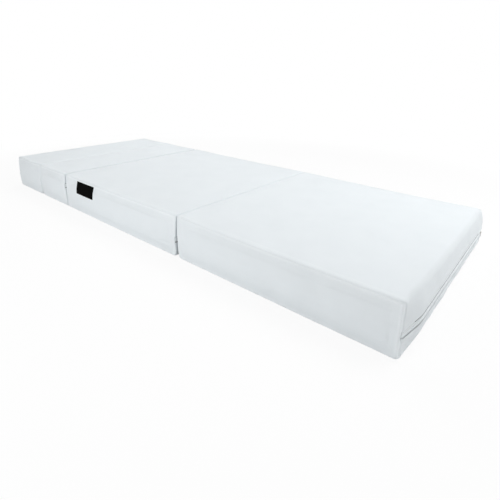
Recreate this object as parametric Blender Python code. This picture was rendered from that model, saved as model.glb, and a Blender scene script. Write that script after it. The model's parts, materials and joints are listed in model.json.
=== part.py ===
"""A folding foam lounger: four covered foam blocks in a row, joined by cloth hinge seams.

Metres, +Z up. The lounger lies flat along X, with its visible zip end at +X and its label side at -Y.
Each block hangs on an empty that lies on its fold line, so turning the empties folds the lounger.
"""
import math
from collections import namedtuple

import bmesh
import bpy

# Overall sizes, and the blocks' lengths from fold line to fold line
WIDTH = 0.680
HEIGHT = 0.132
BASE_LENGTH = 0.650
SEAT_LENGTH = 0.650
BOLSTER_LENGTH = 0.217
HEADREST_LENGTH = 0.217

# Covers: cloth with its backing, and the rounding of the long edges down to the side seams
COVER_THICKNESS = 0.002
EDGE_ROLL = 0.005
FIT_GAP = 0.0003
PANEL_RING = 0.022

# Soft shape: crown of the top, dip of its long edges, and belly of the side panels
CROWN = 0.004
EDGE_DIP = 0.003
SIDE_BELLY = 0.006
BELLY_LOSS_SHARE = 0.4

# Free ends of the row
END_TOP_RADIUS = 0.012
END_FOOT_RADIUS = 0.012
END_BULGE = 0.0105
END_TOP_SHARE = 0.8
END_NEAR_CORNER_SHARE = 0.05
END_FAR_CORNER_SHARE = 0.5
END_EASE_LENGTH = 0.092

# Walls in the folds: half of the gap and the corner radius, beside the seam and on the open side
CREASE_HALF_GAP = 0.0015
CREASE_RADIUS = 0.005
OPEN_RADIUS = 0.013
BASE_FOLD_HALF_GAP = 0.0055
SEAT_FOLD_HALF_GAP = 0.006
HEADREST_FOLD_HALF_GAP = 0.0025
FOLD_CLEARANCE = 0.0002
SEAM_DEPTH = 0.003
LOWER_SEAM_HEIGHT = 0.016

# Zips: the slot in the cover, the tapes behind it and the coil on them
END_ZIP_HEIGHT = 0.060
SEAT_ZIP_HEIGHT = 0.056
BOLSTER_ZIP_HEIGHT = 0.084
ZIP_SLOT = 0.016
TAPE_WIDTH = 0.016
TAPE_THICKNESS = 0.0008
COIL_WIDTH = 0.0024
COIL_DEPTH = 0.0015
TAPE_ROOM = 0.0018

# Zip slider, its bail and the hanging pull tab
SLIDER_LENGTH = 0.012
SLIDER_WALL = 0.0014
SLIDER_FLANGE = 0.0012
SLIDER_TAPE_GAP = 0.0005
SLIDER_COIL_GAP = 0.0005
SLIDER_END_GAP = 0.002
BAIL_REACH = 0.0032
BAIL_RISE = 0.0020
BAIL_THICKNESS = 0.0010
BAIL_WIDTH = 0.0014
BAIL_ROOT = 0.0005
PULL_LENGTH = 0.014
PULL_WIDTH = 0.0060
PULL_NECK = 0.0044
PULL_THICKNESS = 0.0010
PULL_EYE_RADIUS = 0.0013
PULL_SHOULDER = 0.005

# Label sewn to the seat's near side panel
LABEL_LENGTH = 0.125
LABEL_HEIGHT = 0.050
LABEL_THICKNESS = 0.0008
LABEL_FROM_FOLD = 0.086
LABEL_UNDER_SEAM = 0.008

# Steps of the meshes
CORNER_STEPS = 3
ROLL_STEPS = 2
TOP_STEPS = 6
FOOT_STEPS = 3
EYE_STEPS = 16
LABEL_COLUMNS = 4
LABEL_ROWS = 3
CROWN_STATION_SHARES = (0.5, 0.0, -0.5)
SMOOTH_ANGLE = math.radians(50)

Wall = namedtuple("Wall", "top_gap foot_gap top_radius foot_radius bulge")
Block = namedtuple("Block", "name left right left_wall right_wall zip_side zip_height")

FREE_END = Wall(0, 0, END_TOP_RADIUS, END_FOOT_RADIUS, END_BULGE)
BASE_FOLD = Wall(CREASE_HALF_GAP, BASE_FOLD_HALF_GAP, CREASE_RADIUS, OPEN_RADIUS, 0)
SEAT_FOLD = Wall(SEAT_FOLD_HALF_GAP, CREASE_HALF_GAP, OPEN_RADIUS, CREASE_RADIUS, 0)
HEADREST_FOLD = Wall(CREASE_HALF_GAP, HEADREST_FOLD_HALF_GAP, CREASE_RADIUS, OPEN_RADIUS, 0)

# Ends and fold lines of the row, which is centred on the origin
TOTAL_LENGTH = BASE_LENGTH + SEAT_LENGTH + BOLSTER_LENGTH + HEADREST_LENGTH
HEADREST_END = -0.5 * TOTAL_LENGTH
HEADREST_LINE = HEADREST_END + HEADREST_LENGTH
SEAT_LINE = HEADREST_LINE + BOLSTER_LENGTH
BASE_LINE = SEAT_LINE + SEAT_LENGTH
ZIP_END = BASE_LINE + BASE_LENGTH

BASE = Block("base", BASE_LINE, ZIP_END, BASE_FOLD, FREE_END, 1, END_ZIP_HEIGHT)
SEAT = Block("seat", SEAT_LINE, BASE_LINE, SEAT_FOLD, BASE_FOLD, 1, SEAT_ZIP_HEIGHT)
BOLSTER = Block("bolster", HEADREST_LINE, SEAT_LINE, HEADREST_FOLD, SEAT_FOLD, 1, BOLSTER_ZIP_HEIGHT)
HEADREST = Block("headrest", HEADREST_END, HEADREST_LINE, FREE_END, HEADREST_FOLD, -1, END_ZIP_HEIGHT)

# Fold axes: the upper ones lie just over the crowns, so that two tops can meet
UPPER_AXIS_HEIGHT = HEIGHT + CROWN + FOLD_CLEARANCE
LOWER_AXIS_HEIGHT = -FOLD_CLEARANCE
FLAT_HALF_WIDTH = 0.5 * WIDTH - EDGE_ROLL
TAPE_BAND = TAPE_WIDTH + FIT_GAP

# Levels of the zip, measured outwards from the outer face of the cover
TAPE_LEVEL = -COVER_THICKNESS - FIT_GAP
COIL_LEVEL = TAPE_LEVEL + COIL_DEPTH
PLATE_LEVEL = COIL_LEVEL + FIT_GAP
BAIL_LEVEL = PLATE_LEVEL + SLIDER_WALL
BAIL_TOP_LEVEL = BAIL_LEVEL + BAIL_RISE + BAIL_THICKNESS


def clear_scene():
    for thing in list(bpy.data.objects):
        bpy.data.objects.remove(thing, do_unlink=True)


def make_material(name, colour, roughness, metallic):
    material = bpy.data.materials.new(name)
    material.use_nodes = True
    shader = material.node_tree.nodes["Principled BSDF"]
    shader.inputs["Base Color"].default_value = (*colour, 1)
    shader.inputs["Roughness"].default_value = roughness
    shader.inputs["Metallic"].default_value = metallic
    material.diffuse_color = (*colour, 1)
    return material


def make_materials():
    return {
        "fabric": make_material("pale_woven_fabric", (0.80, 0.83, 0.85), 0.85, 0),
        "foam": make_material("cream_foam", (0.86, 0.80, 0.62), 0.95, 0),
        "tape": make_material("zip_tape", (0.74, 0.77, 0.79), 0.8, 0),
        "metal": make_material("dark_zip_metal", (0.10, 0.10, 0.11), 0.35, 1),
        "label": make_material("black_label", (0.006, 0.006, 0.006), 0.7, 0),
    }


# Soft shape of a block


def eased(share, start_share):
    """Smooth way from a start share up to 1, for a share of the way between 0 and 1."""
    way = max(0, min(1, share))
    return start_share + (1 - start_share) * way * way * (3 - 2 * way)


def end_ease(y):
    """Share of the end bulge at y: it fades towards both sides, over a longer way at the near one."""
    near = eased((y + 0.5 * WIDTH) / END_EASE_LENGTH, END_NEAR_CORNER_SHARE)
    far = eased((0.5 * WIDTH - y) / EDGE_ROLL, END_FAR_CORNER_SHARE)
    return min(near, far)


def end_mound(block, y, z):
    """Share of the end bulge at y and z: whole over the zip tapes, a bow at the top, nothing at the foot."""
    over = z > block.zip_height
    whole = HEIGHT - block.zip_height if over else block.zip_height
    lost = 1 - END_TOP_SHARE * (1 - (2 * y / WIDTH) ** 4) if over else 1
    beyond = max(0, abs(z - block.zip_height) - TAPE_BAND)
    return max(0, 1 - lost * (beyond / (whole - TAPE_BAND)) ** 2)


def soften(block, x, y, z):
    """Moves a point of the plain block to its place on the crowned and bulging one."""
    half_length = 0.5 * (block.right - block.left)
    along = (x - 0.5 * (block.left + block.right)) / half_length
    across = 2 * y / WIDTH
    up = z / HEIGHT
    middle = max(0, 1 - along**2)
    lift = CROWN * middle * max(0, 1 - across**2) - EDGE_DIP * middle * across**6
    belly = SIDE_BELLY * (1 - BELLY_LOSS_SHARE * along**4) * 4 * up * (1 - up) * across**3
    bulge = block.right_wall.bulge if along > 0 else block.left_wall.bulge
    push = math.copysign(bulge * end_ease(y) * end_mound(block, y, z) * along**4, along)
    return (x + push, y + belly, z + lift * up**2)


# Outline of a block in its X-Z plane, moved inwards by an inset


def wall_x(block, side, z, inset):
    """X of the end wall on one side (1 right, -1 left) at height z."""
    wall = block.right_wall if side > 0 else block.left_wall
    line = block.right if side > 0 else block.left
    gap = wall.foot_gap + (wall.top_gap - wall.foot_gap) * z / HEIGHT
    return line - side * (gap + inset)


def corner_height(block, side, up, inset):
    """Height at which the end wall meets its rounded corner."""
    wall = block.right_wall if side > 0 else block.left_wall
    radius = wall.top_radius if up else wall.foot_radius
    reach = max(radius - inset, FIT_GAP)
    return HEIGHT - inset - reach if up else inset + reach


def corner_points(block, side, up, inset, room):
    """Points of one rounded corner, from the end wall to the flat top or bottom."""
    z_centre = corner_height(block, side, up, inset)
    radius = HEIGHT - inset - z_centre if up else z_centre - inset
    x_wall = wall_x(block, side, z_centre, inset + room)
    x_centre = x_wall - side * radius
    points = []
    for step in range(CORNER_STEPS + 1):
        angle = 0.5 * math.pi * step / CORNER_STEPS
        rise = radius * math.sin(angle)
        z = z_centre + rise if up else z_centre - rise
        points.append((x_centre + side * radius * math.cos(angle), z))
    return points


def wall_points(block, side, start, stop, inset, room):
    """Points up or down an end wall, without the last one, which the corner gives."""
    heights = [start]
    if side == block.zip_side:
        heights.append(block.zip_height + math.copysign(TAPE_BAND, stop - start))
        heights.append(0.5 * (heights[-1] + stop))
    return [(wall_x(block, side, z, inset + room), z) for z in heights]


def between(first, last, steps):
    """Points strictly between two points."""
    shares = [step / steps for step in range(1, steps)]
    return [(first[0] + (last[0] - first[0]) * s, first[1] + (last[1] - first[1]) * s) for s in shares]


def split_heights(block, side, inset):
    """Lower edge of the upper cover and upper edge of the lower cover on one end wall."""
    if side == block.zip_side:
        return block.zip_height + 0.5 * ZIP_SLOT, block.zip_height - 0.5 * ZIP_SLOT
    seam = max(LOWER_SEAM_HEIGHT, corner_height(block, side, False, inset) + FIT_GAP)
    return seam + FIT_GAP, seam


def half_outline(block, up, inset, room=0):
    """Outline of the upper or lower cover: right wall, corner, top or bottom, corner, left wall."""
    runs = {}
    for side in (1, -1):
        split = split_heights(block, side, inset)[0 if up else 1]
        wall_room = room if side == block.zip_side else 0
        corner = corner_points(block, side, up, inset, wall_room)
        runs[side] = wall_points(block, side, split, corner[0][1], inset, wall_room) + corner
    steps = TOP_STEPS if up else FOOT_STEPS
    flat = between(runs[1][-1], runs[-1][-1], steps)
    return runs[1] + flat + runs[-1][::-1]


def whole_outline(block, inset, room=0):
    """Closed outline of the block, with one point where the covers meet at the lower seam."""
    upper = half_outline(block, True, inset, room)
    lower = half_outline(block, False, inset, room)[::-1]
    if block.zip_side > 0:
        return upper + lower[1:]
    return upper[1:] + lower


# Stations across the block: rounded edge, flat middle, rounded edge


def across_stations(block, depth, room=0):
    """(y, inset) pairs at a depth below the cover's outer face, from the near to the far side.

    The room is kept free at both sides, over and above the depth.
    """
    radius = EDGE_ROLL - depth
    rolled = []
    for step in range(ROLL_STEPS + 1):
        angle = 0.5 * math.pi * (1 - step / ROLL_STEPS)
        y = FLAT_HALF_WIDTH + (radius - room) * math.sin(angle)
        rolled.append((y, depth + radius * (1 - math.cos(angle))))
    flat = [-share * FLAT_HALF_WIDTH for share in CROWN_STATION_SHARES]
    if block.left_wall.bulge or block.right_wall.bulge:
        flat.insert(0, END_EASE_LENGTH - 0.5 * WIDTH)
    near = [(-y, inset) for y, inset in rolled]
    return near + [(y, depth) for y in flat] + rolled[::-1]


def cover_grid(block, up, depth):
    rows = []
    for y, inset in across_stations(block, depth):
        rows.append([soften(block, x, y, z) for x, z in half_outline(block, up, inset)])
    return rows


# Meshes


def shell(outer, inner):
    """Faces of a thin closed shell between two grids of points of one size."""
    rows = len(outer)
    columns = len(outer[0])
    points = [p for grid in (outer, inner) for row in grid for p in row]

    def at(layer, row, column):
        return (layer * rows + row) * columns + column

    faces = []
    for layer in (0, 1):
        for row in range(rows - 1):
            for column in range(columns - 1):
                faces.append(
                    (
                        at(layer, row, column),
                        at(layer, row, column + 1),
                        at(layer, row + 1, column + 1),
                        at(layer, row + 1, column),
                    )
                )
    rim = [(0, c) for c in range(columns)]
    rim += [(r, columns - 1) for r in range(1, rows)]
    rim += [(rows - 1, c) for c in range(columns - 2, -1, -1)]
    rim += [(r, 0) for r in range(rows - 2, 0, -1)]
    for (row, column), (next_row, next_column) in zip(rim, rim[1:] + rim[:1]):
        faces.append(
            (
                at(0, row, column),
                at(0, next_row, next_column),
                at(1, next_row, next_column),
                at(1, row, column),
            )
        )
    return points, faces


def loft(rings):
    """Faces of a closed body through rings of points, with a flat cap on each end."""
    count = len(rings[0])
    points = [p for ring in rings for p in ring]
    faces = [tuple(range(count)), tuple(range(len(points) - count, len(points)))]
    for row in range(len(rings) - 1):
        for column in range(count):
            following = (column + 1) % count
            faces.append(
                (
                    row * count + column,
                    row * count + following,
                    (row + 1) * count + following,
                    (row + 1) * count + column,
                )
            )
    return points, faces


def add_empty(name, place, parent=None, parent_place=(0, 0, 0)):
    empty = bpy.data.objects.new(name, None)
    bpy.context.scene.collection.objects.link(empty)
    empty.parent = parent
    empty.location = [a - b for a, b in zip(place, parent_place)]
    return empty


def add_piece(name, shape, material, parent, parent_place, origin=None):
    """Adds a mesh piece. Its points are world points of the flat lounger, and its origin is given."""
    points, faces = shape
    origin = parent_place if origin is None else origin
    mesh = bpy.data.meshes.new(name)
    local = [[p[axis] - origin[axis] for axis in range(3)] for p in points]
    mesh.from_pydata(local, [], faces)
    tidy = bmesh.new()
    tidy.from_mesh(mesh)
    bmesh.ops.recalc_face_normals(tidy, faces=tidy.faces)
    tidy.to_mesh(mesh)
    tidy.free()
    mesh.materials.append(material)
    mesh.shade_smooth()
    mesh.set_sharp_from_angle(angle=SMOOTH_ANGLE)
    piece = bpy.data.objects.new(name, mesh)
    bpy.context.scene.collection.objects.link(piece)
    piece.parent = parent
    piece.location = [a - b for a, b in zip(origin, parent_place)]
    return piece


# Pieces of a block


def core_shape(block):
    stations = across_stations(block, COVER_THICKNESS + FIT_GAP, TAPE_ROOM)
    edge_y, edge_inset = stations[-1]
    middle = edge_inset + PANEL_RING
    rings = []
    for y, inset in [(-edge_y, middle)] + stations + [(edge_y, middle)]:
        rings.append([soften(block, x, y, z) for x, z in whole_outline(block, inset, TAPE_ROOM)])
    return loft(rings)


def cover_shape(block, up):
    return shell(cover_grid(block, up, 0), cover_grid(block, up, COVER_THICKNESS))


def side_panel_shape(block, side):
    """Side panel inside the seam that the rounded edges end at, as rings from seam to middle."""
    inset = EDGE_ROLL + FIT_GAP
    y_outer = side * 0.5 * WIDTH
    y_inner = side * (0.5 * WIDTH - COVER_THICKNESS)
    rings = []
    for y, extra in ((y_outer, PANEL_RING), (y_outer, 0), (y_inner, 0), (y_inner, PANEL_RING)):
        rings.append([soften(block, x, y, z) for x, z in whole_outline(block, inset + extra)])
    return loft(rings)


def tape_shape(block, up):
    """One zip tape behind the cover's edge, with its half of the coil in the slot."""
    side = block.zip_side
    way = 1 if up else -1
    middle = block.zip_height + 0.5 * way * FIT_GAP
    outer = COVER_THICKNESS + FIT_GAP
    coil = outer - COIL_DEPTH
    inner = outer + TAPE_THICKNESS
    section = (
        (coil, middle),
        (coil, middle + way * COIL_WIDTH),
        (outer, middle + way * COIL_WIDTH),
        (outer, middle + way * TAPE_WIDTH),
        (inner, middle + way * TAPE_WIDTH),
        (inner, middle),
    )
    rings = []
    for row in range(len(across_stations(block, 0))):
        ring = []
        for depth, z in section:
            y, inset = across_stations(block, depth)[row]
            ring.append(soften(block, wall_x(block, side, z, inset), y, z))
        rings.append(ring)
    return loft(rings)


def slider_place(block):
    """Point on the cover's outer face, in the middle of the slider."""
    y = FLAT_HALF_WIDTH - SLIDER_END_GAP - 0.5 * SLIDER_LENGTH
    x = wall_x(block, block.zip_side, block.zip_height, 0)
    return soften(block, x, y, block.zip_height)


def extruded(outline, axis, low, high):
    """Closed body from an outline given as 3-D points with a zero where it is extruded."""
    rings = []
    for value in (low, high):
        rings.append([[value if i == axis else p[i] for i in range(3)] for p in outline])
    return loft(rings)


def slider_shape(block, place):
    """Channel over the coil: a plate with a flange on each side of the coil."""
    side = block.zip_side
    foot = TAPE_LEVEL + SLIDER_TAPE_GAP
    inner = 0.5 * FIT_GAP + COIL_WIDTH + SLIDER_COIL_GAP
    outer = inner + SLIDER_FLANGE
    section = (
        (BAIL_LEVEL, outer),
        (foot, outer),
        (foot, inner),
        (PLATE_LEVEL, inner),
        (PLATE_LEVEL, -inner),
        (foot, -inner),
        (foot, -outer),
        (BAIL_LEVEL, -outer),
    )
    outline = [(place[0] + side * out, 0, place[2] + up) for out, up in section]
    half = 0.5 * SLIDER_LENGTH
    return extruded(outline, 1, place[1] - half, place[1] + half)


def bail_shape(block, place):
    """Arch on the slider, which the pull tab hangs on."""
    side = block.zip_side
    foot = BAIL_LEVEL - BAIL_ROOT
    inner_top = BAIL_LEVEL + BAIL_RISE
    half = 0.5 * BAIL_THICKNESS
    section = (
        (foot, BAIL_REACH + half),
        (BAIL_TOP_LEVEL, BAIL_REACH + half),
        (BAIL_TOP_LEVEL, -BAIL_REACH - half),
        (foot, -BAIL_REACH - half),
        (foot, -BAIL_REACH + half),
        (inner_top, -BAIL_REACH + half),
        (inner_top, BAIL_REACH - half),
        (foot, BAIL_REACH - half),
    )
    outline = [(place[0] + side * out, place[1] + along, 0) for out, along in section]
    return extruded(outline, 2, place[2] - 0.5 * BAIL_WIDTH, place[2] + 0.5 * BAIL_WIDTH)


def pull_outline():
    """Half outline of the pull tab from the eye's top down to the tab's end, as (across, down)."""
    neck = 0.5 * PULL_NECK
    tab = 0.5 * PULL_WIDTH
    points = []
    for step in range(EYE_STEPS // 4 + 1):
        angle = 0.5 * math.pi * step / (EYE_STEPS // 4)
        points.append((neck * math.sin(angle), -neck * math.cos(angle)))
    points.append((tab, PULL_SHOULDER))
    points.append((tab, PULL_LENGTH - tab))
    points.append((0.5 * tab, PULL_LENGTH))
    return points


def pull_shape(block, place):
    """Flat tab that hangs on one leg of the bail, with a round eye about the leg."""
    half = pull_outline()
    rim = half + [(-a, d) for a, d in half[::-1] if a > 0]
    eye = []
    for across, down in rim:
        share = PULL_EYE_RADIUS / math.hypot(across, down)
        eye.append((across * share, down * share))
    low = BAIL_LEVEL + 0.5 * (BAIL_RISE - PULL_THICKNESS)
    high = low + PULL_THICKNESS
    side = block.zip_side
    rings = []
    for loop, out in ((eye, low), (rim, low), (rim, high), (eye, high)):
        rings.append([(place[0] + side * out, place[1] + a, place[2] - d) for a, d in loop])
    count = len(rim)
    points = [p for ring in rings for p in ring]
    faces = []
    for row in range(len(rings)):
        following_row = (row + 1) % len(rings)
        for column in range(count):
            following = (column + 1) % count
            faces.append(
                (
                    row * count + column,
                    row * count + following,
                    following_row * count + following,
                    following_row * count + column,
                )
            )
    return points, faces


def seam_shape(line, height):
    """Strip of cloth in a fold, from wall to wall beside the fold's closed edge."""
    half = CREASE_HALF_GAP - FIT_GAP
    section = ((-half, 0), (half, 0), (half, SEAM_DEPTH), (-half, SEAM_DEPTH))
    outline = [(line + x, 0, height + z) for x, z in section]
    return extruded(outline, 1, -FLAT_HALF_WIDTH, FLAT_HALF_WIDTH)


def label_shape(block):
    """Flat label on the near side panel, just under the top seam."""
    top = HEIGHT - EDGE_ROLL - LABEL_UNDER_SEAM
    start = block.left + LABEL_FROM_FOLD
    grids = []
    for out in (FIT_GAP + LABEL_THICKNESS, FIT_GAP):
        rows = []
        for row in range(LABEL_ROWS + 1):
            z = top - LABEL_HEIGHT * row / LABEL_ROWS
            points = []
            for column in range(LABEL_COLUMNS + 1):
                x = start + LABEL_LENGTH * column / LABEL_COLUMNS
                on_panel = soften(block, x, -0.5 * WIDTH, z)
                points.append((on_panel[0], on_panel[1] - out, on_panel[2]))
            rows.append(points)
        grids.append(rows)
    return shell(grids[0], grids[1])


# Assembly


def add_slider(block, materials, parent, parent_place):
    """Slider with its bail joined on, and the pull tab that turns about one leg of the bail."""
    place = slider_place(block)
    name = f"{block.name}_zip_slider"
    slider = add_piece(name, slider_shape(block, place), materials["metal"], parent, parent_place, place)
    bail = add_piece(f"{block.name}_bail_form", bail_shape(block, place), materials["metal"], slider, place)
    bail.hide_render = True
    bail.display_type = "WIRE"
    join = slider.modifiers.new("bail", "BOOLEAN")
    join.operation = "UNION"
    join.object = bail
    leg = (place[0], place[1] - BAIL_REACH, place[2])
    shape = pull_shape(block, leg)
    add_piece(f"{block.name}_zip_pull", shape, materials["metal"], slider, place, leg)


def add_block(block, materials, parent, place):
    fabric = materials["fabric"]
    add_piece(f"{block.name}_foam_core", core_shape(block), materials["foam"], parent, place)
    add_piece(f"{block.name}_upper_cover", cover_shape(block, True), fabric, parent, place)
    add_piece(f"{block.name}_lower_cover", cover_shape(block, False), fabric, parent, place)
    add_piece(f"{block.name}_near_side", side_panel_shape(block, -1), fabric, parent, place)
    add_piece(f"{block.name}_far_side", side_panel_shape(block, 1), fabric, parent, place)
    add_piece(f"{block.name}_zip_upper_tape", tape_shape(block, True), materials["tape"], parent, place)
    add_piece(f"{block.name}_zip_lower_tape", tape_shape(block, False), materials["tape"], parent, place)
    add_slider(block, materials, parent, place)


def main():
    clear_scene()
    materials = make_materials()

    # Fold lines, each with the block that turns on it hung below it
    base_place = (BASE_LINE, 0, 0)
    seat_place = (BASE_LINE, 0, UPPER_AXIS_HEIGHT)
    bolster_place = (SEAT_LINE, 0, LOWER_AXIS_HEIGHT)
    headrest_place = (HEADREST_LINE, 0, UPPER_AXIS_HEIGHT)
    base_root = add_empty("base_root", base_place)
    seat_fold = add_empty("seat_fold_line", seat_place, base_root, base_place)
    bolster_fold = add_empty("bolster_fold_line", bolster_place, seat_fold, seat_place)
    headrest_fold = add_empty("headrest_fold_line", headrest_place, bolster_fold, bolster_place)

    add_block(BASE, materials, base_root, base_place)
    add_block(SEAT, materials, seat_fold, seat_place)
    add_block(BOLSTER, materials, bolster_fold, bolster_place)
    add_block(HEADREST, materials, headrest_fold, headrest_place)
    add_piece("seat_label", label_shape(SEAT), materials["label"], seat_fold, seat_place)

    # Hinge seams, under the rounded corners of an upper fold or over those of the lower one
    upper_seam = HEIGHT - CREASE_RADIUS - SEAM_DEPTH
    fabric = materials["fabric"]
    add_piece("base_seat_hinge_seam", seam_shape(BASE_LINE, upper_seam), fabric, base_root, base_place)
    add_piece("seat_bolster_hinge_seam", seam_shape(SEAT_LINE, CREASE_RADIUS), fabric, seat_fold, seat_place)
    add_piece(
        "bolster_headrest_hinge_seam",
        seam_shape(HEADREST_LINE, upper_seam),
        fabric,
        bolster_fold,
        bolster_place,
    )


main()
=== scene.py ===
"""The looks of a folding foam lounger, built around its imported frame.

Each block's sewn cover is one closed cushion: a cloth simulation puffs it, and then its seams,
its zip slot and its stitch lines are worked into the mesh. Metres, +Z up.
"""
import json
import math
from collections import namedtuple

import bmesh
import bpy
import numpy as np
from mathutils import Matrix, Vector
from mathutils.bvhtree import BVHTree


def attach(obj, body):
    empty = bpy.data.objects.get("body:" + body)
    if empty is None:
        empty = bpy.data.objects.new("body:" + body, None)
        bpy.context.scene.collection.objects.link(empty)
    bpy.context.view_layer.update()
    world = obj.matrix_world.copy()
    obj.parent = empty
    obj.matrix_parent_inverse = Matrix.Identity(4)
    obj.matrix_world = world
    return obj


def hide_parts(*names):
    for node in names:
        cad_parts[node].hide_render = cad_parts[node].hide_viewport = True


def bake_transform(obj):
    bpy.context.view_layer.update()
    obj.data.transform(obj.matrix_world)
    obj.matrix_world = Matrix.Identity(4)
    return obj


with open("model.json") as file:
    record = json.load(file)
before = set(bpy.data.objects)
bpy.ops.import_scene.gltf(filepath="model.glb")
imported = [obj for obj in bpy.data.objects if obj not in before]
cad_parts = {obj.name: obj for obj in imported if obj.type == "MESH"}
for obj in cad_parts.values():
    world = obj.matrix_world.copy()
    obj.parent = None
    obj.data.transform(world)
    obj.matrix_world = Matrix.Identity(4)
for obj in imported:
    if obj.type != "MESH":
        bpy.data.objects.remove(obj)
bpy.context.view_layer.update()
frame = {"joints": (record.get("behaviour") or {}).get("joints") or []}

JOINTS = {joint["name"]: joint for joint in frame["joints"]}

# Sizes of the construction that the looks follow
WIDTH = 0.680
HEIGHT = 0.132
EDGE_ROLL = 0.005
CROWN = 0.004
EDGE_DIP = 0.003
SIDE_BELLY = 0.006
BELLY_LOSS_SHARE = 0.4
END_TOP_RADIUS = 0.012
END_FOOT_RADIUS = 0.012
END_BULGE = 0.0105
END_TOP_SHARE = 0.8
END_NEAR_CORNER_SHARE = 0.05
END_FAR_CORNER_SHARE = 0.5
END_EASE_LENGTH = 0.092
CREASE_HALF_GAP = 0.0015
CREASE_RADIUS = 0.005
OPEN_RADIUS = 0.013
TOP_OPEN_RADIUS = 0.007
BASE_FOLD_HALF_GAP = 0.0055
SEAT_FOLD_HALF_GAP = 0.006
HEADREST_FOLD_HALF_GAP = 0.0025
FIT_GAP = 0.0003
TAPE_BAND = 0.0163
ZIP_SLOT = 0.016

# Fold lines and zips, from the frame
BASE_LINE = JOINTS["seat_fold"]["pos_m"][0]
SEAT_LINE = JOINTS["bolster_fold"]["pos_m"][0]
HEADREST_LINE = JOINTS["headrest_fold"]["pos_m"][0]
HEADREST_END = HEADREST_LINE - (SEAT_LINE - HEADREST_LINE)
ZIP_END = BASE_LINE + (BASE_LINE - SEAT_LINE)
FLAT_HALF_WIDTH = 0.5 * WIDTH - EDGE_ROLL

Wall = namedtuple("Wall", "top_gap foot_gap top_radius foot_radius bulge")
Block = namedtuple("Block", "name left right left_wall right_wall zip_side zip_height")

FREE_END = Wall(0, 0, END_TOP_RADIUS, END_FOOT_RADIUS, END_BULGE)
BASE_FOLD = Wall(CREASE_HALF_GAP, BASE_FOLD_HALF_GAP, CREASE_RADIUS, OPEN_RADIUS, 0)
SEAT_FOLD = Wall(SEAT_FOLD_HALF_GAP, CREASE_HALF_GAP, TOP_OPEN_RADIUS, CREASE_RADIUS, 0)
HEADREST_FOLD = Wall(CREASE_HALF_GAP, HEADREST_FOLD_HALF_GAP, CREASE_RADIUS, OPEN_RADIUS, 0)


def zip_height(name):
    return JOINTS[f"{name}_pull_swing"]["pos_m"][2]


BLOCKS = (
    Block("base", BASE_LINE, ZIP_END, BASE_FOLD, FREE_END, 1, zip_height("base")),
    Block("seat", SEAT_LINE, BASE_LINE, SEAT_FOLD, BASE_FOLD, 1, zip_height("seat")),
    Block("bolster", HEADREST_LINE, SEAT_LINE, HEADREST_FOLD, SEAT_FOLD, 1, zip_height("bolster")),
    Block("headrest", HEADREST_END, HEADREST_LINE, FREE_END, HEADREST_FOLD, -1, zip_height("headrest")),
)

# Camera, placed by matching the block corners in the photograph
CAMERA_PLACE = Vector((1.0414, -1.0223, 0.5424))
CAMERA_YAW = math.radians(-39.209)
CAMERA_PITCH = math.radians(15.988)
CAMERA_ROLL = math.radians(1.319)
CAMERA_LENS = 28.41
CAMERA_SENSOR = 36
CAMERA_SHIFT = -0.14


# Soft shape of a block, as the construction has it


def smooth_step(share):
    share = np.clip(share, 0, 1)
    return share * share * (3 - 2 * share)


def end_ease(y):
    """Share of the end bulge at y: it fades towards both sides, over a longer way at the near one."""
    near_share = smooth_step((y + 0.5 * WIDTH) / END_EASE_LENGTH)
    far_share = smooth_step((0.5 * WIDTH - y) / EDGE_ROLL)
    near = END_NEAR_CORNER_SHARE + (1 - END_NEAR_CORNER_SHARE) * near_share
    far = END_FAR_CORNER_SHARE + (1 - END_FAR_CORNER_SHARE) * far_share
    return np.minimum(near, far)


def end_mound(block, y, z):
    """Share of the end bulge at y and z: whole over the zip, a bow at the top, nothing at the foot."""
    over = z > block.zip_height
    whole = np.where(over, HEIGHT - block.zip_height, block.zip_height)
    lost = np.where(over, 1 - END_TOP_SHARE * (1 - (2 * y / WIDTH) ** 4), 1)
    beyond = np.maximum(0, np.abs(z - block.zip_height) - TAPE_BAND)
    return np.maximum(0, 1 - lost * (beyond / (whole - TAPE_BAND)) ** 2)


def soften(block, x, y, z):
    """Moves points of the plain block to their places on the crowned and bulging one."""
    x, y, z = np.broadcast_arrays(np.asarray(x, float), np.asarray(y, float), np.asarray(z, float))
    half_length = 0.5 * (block.right - block.left)
    along = (x - 0.5 * (block.left + block.right)) / half_length
    across = 2 * y / WIDTH
    up = z / HEIGHT
    middle = np.maximum(0, 1 - along**2)
    lift = CROWN * middle * np.maximum(0, 1 - across**2) - EDGE_DIP * middle * across**6
    belly = SIDE_BELLY * (1 - BELLY_LOSS_SHARE * along**4) * 4 * up * (1 - up) * across**3
    bulge = np.where(along > 0, block.right_wall.bulge, block.left_wall.bulge)
    push = np.sign(along) * bulge * end_ease(y) * end_mound(block, y, z) * along**4
    return np.stack((x + push, y + belly, z + lift * up**2), axis=-1)


# Outline of a block in its X-Z plane

MIN_CORNER = 0.0030
CORNER_EASE_LENGTH = 0.055
FINE_STEP = 0.0016
FINE_HOLD = 4
STEP_GROWTH = 1.45
MOST_GRADED_SHARE = 0.8
COARSE_STEP = 0.0055
ARC_STEPS = 8
SIM_STEP = 0.018
SIM_ARC_STEPS = 4

# Mesh lines beside the zip's line, as shares of half its slot, and mesh lines beside the seam, on the
# rolled edge and on the side panel, as shares of the edge's roll
SLOT_SHARES = (0.5, 0.8875, 0.95, 0.9875, 1.025, 1.075, 1.15, 1.275, 1.45, 1.725, 1.775, 1.9)
ROLL_SHARES = (0.16, 0.32, 0.5, 0.72, 0.98, 1.26)
RING_SHARES = (0.16, 0.32, 0.5, 0.72, 1, 1.36, 1.8, 2.44, 3.3, 4.4)
SIM_SLOT_SHARES = (1.45,)
SIM_ROLL_SHARES = (0.8,)
SIM_RING_SHARES = (2.2, 4.4)

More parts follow.
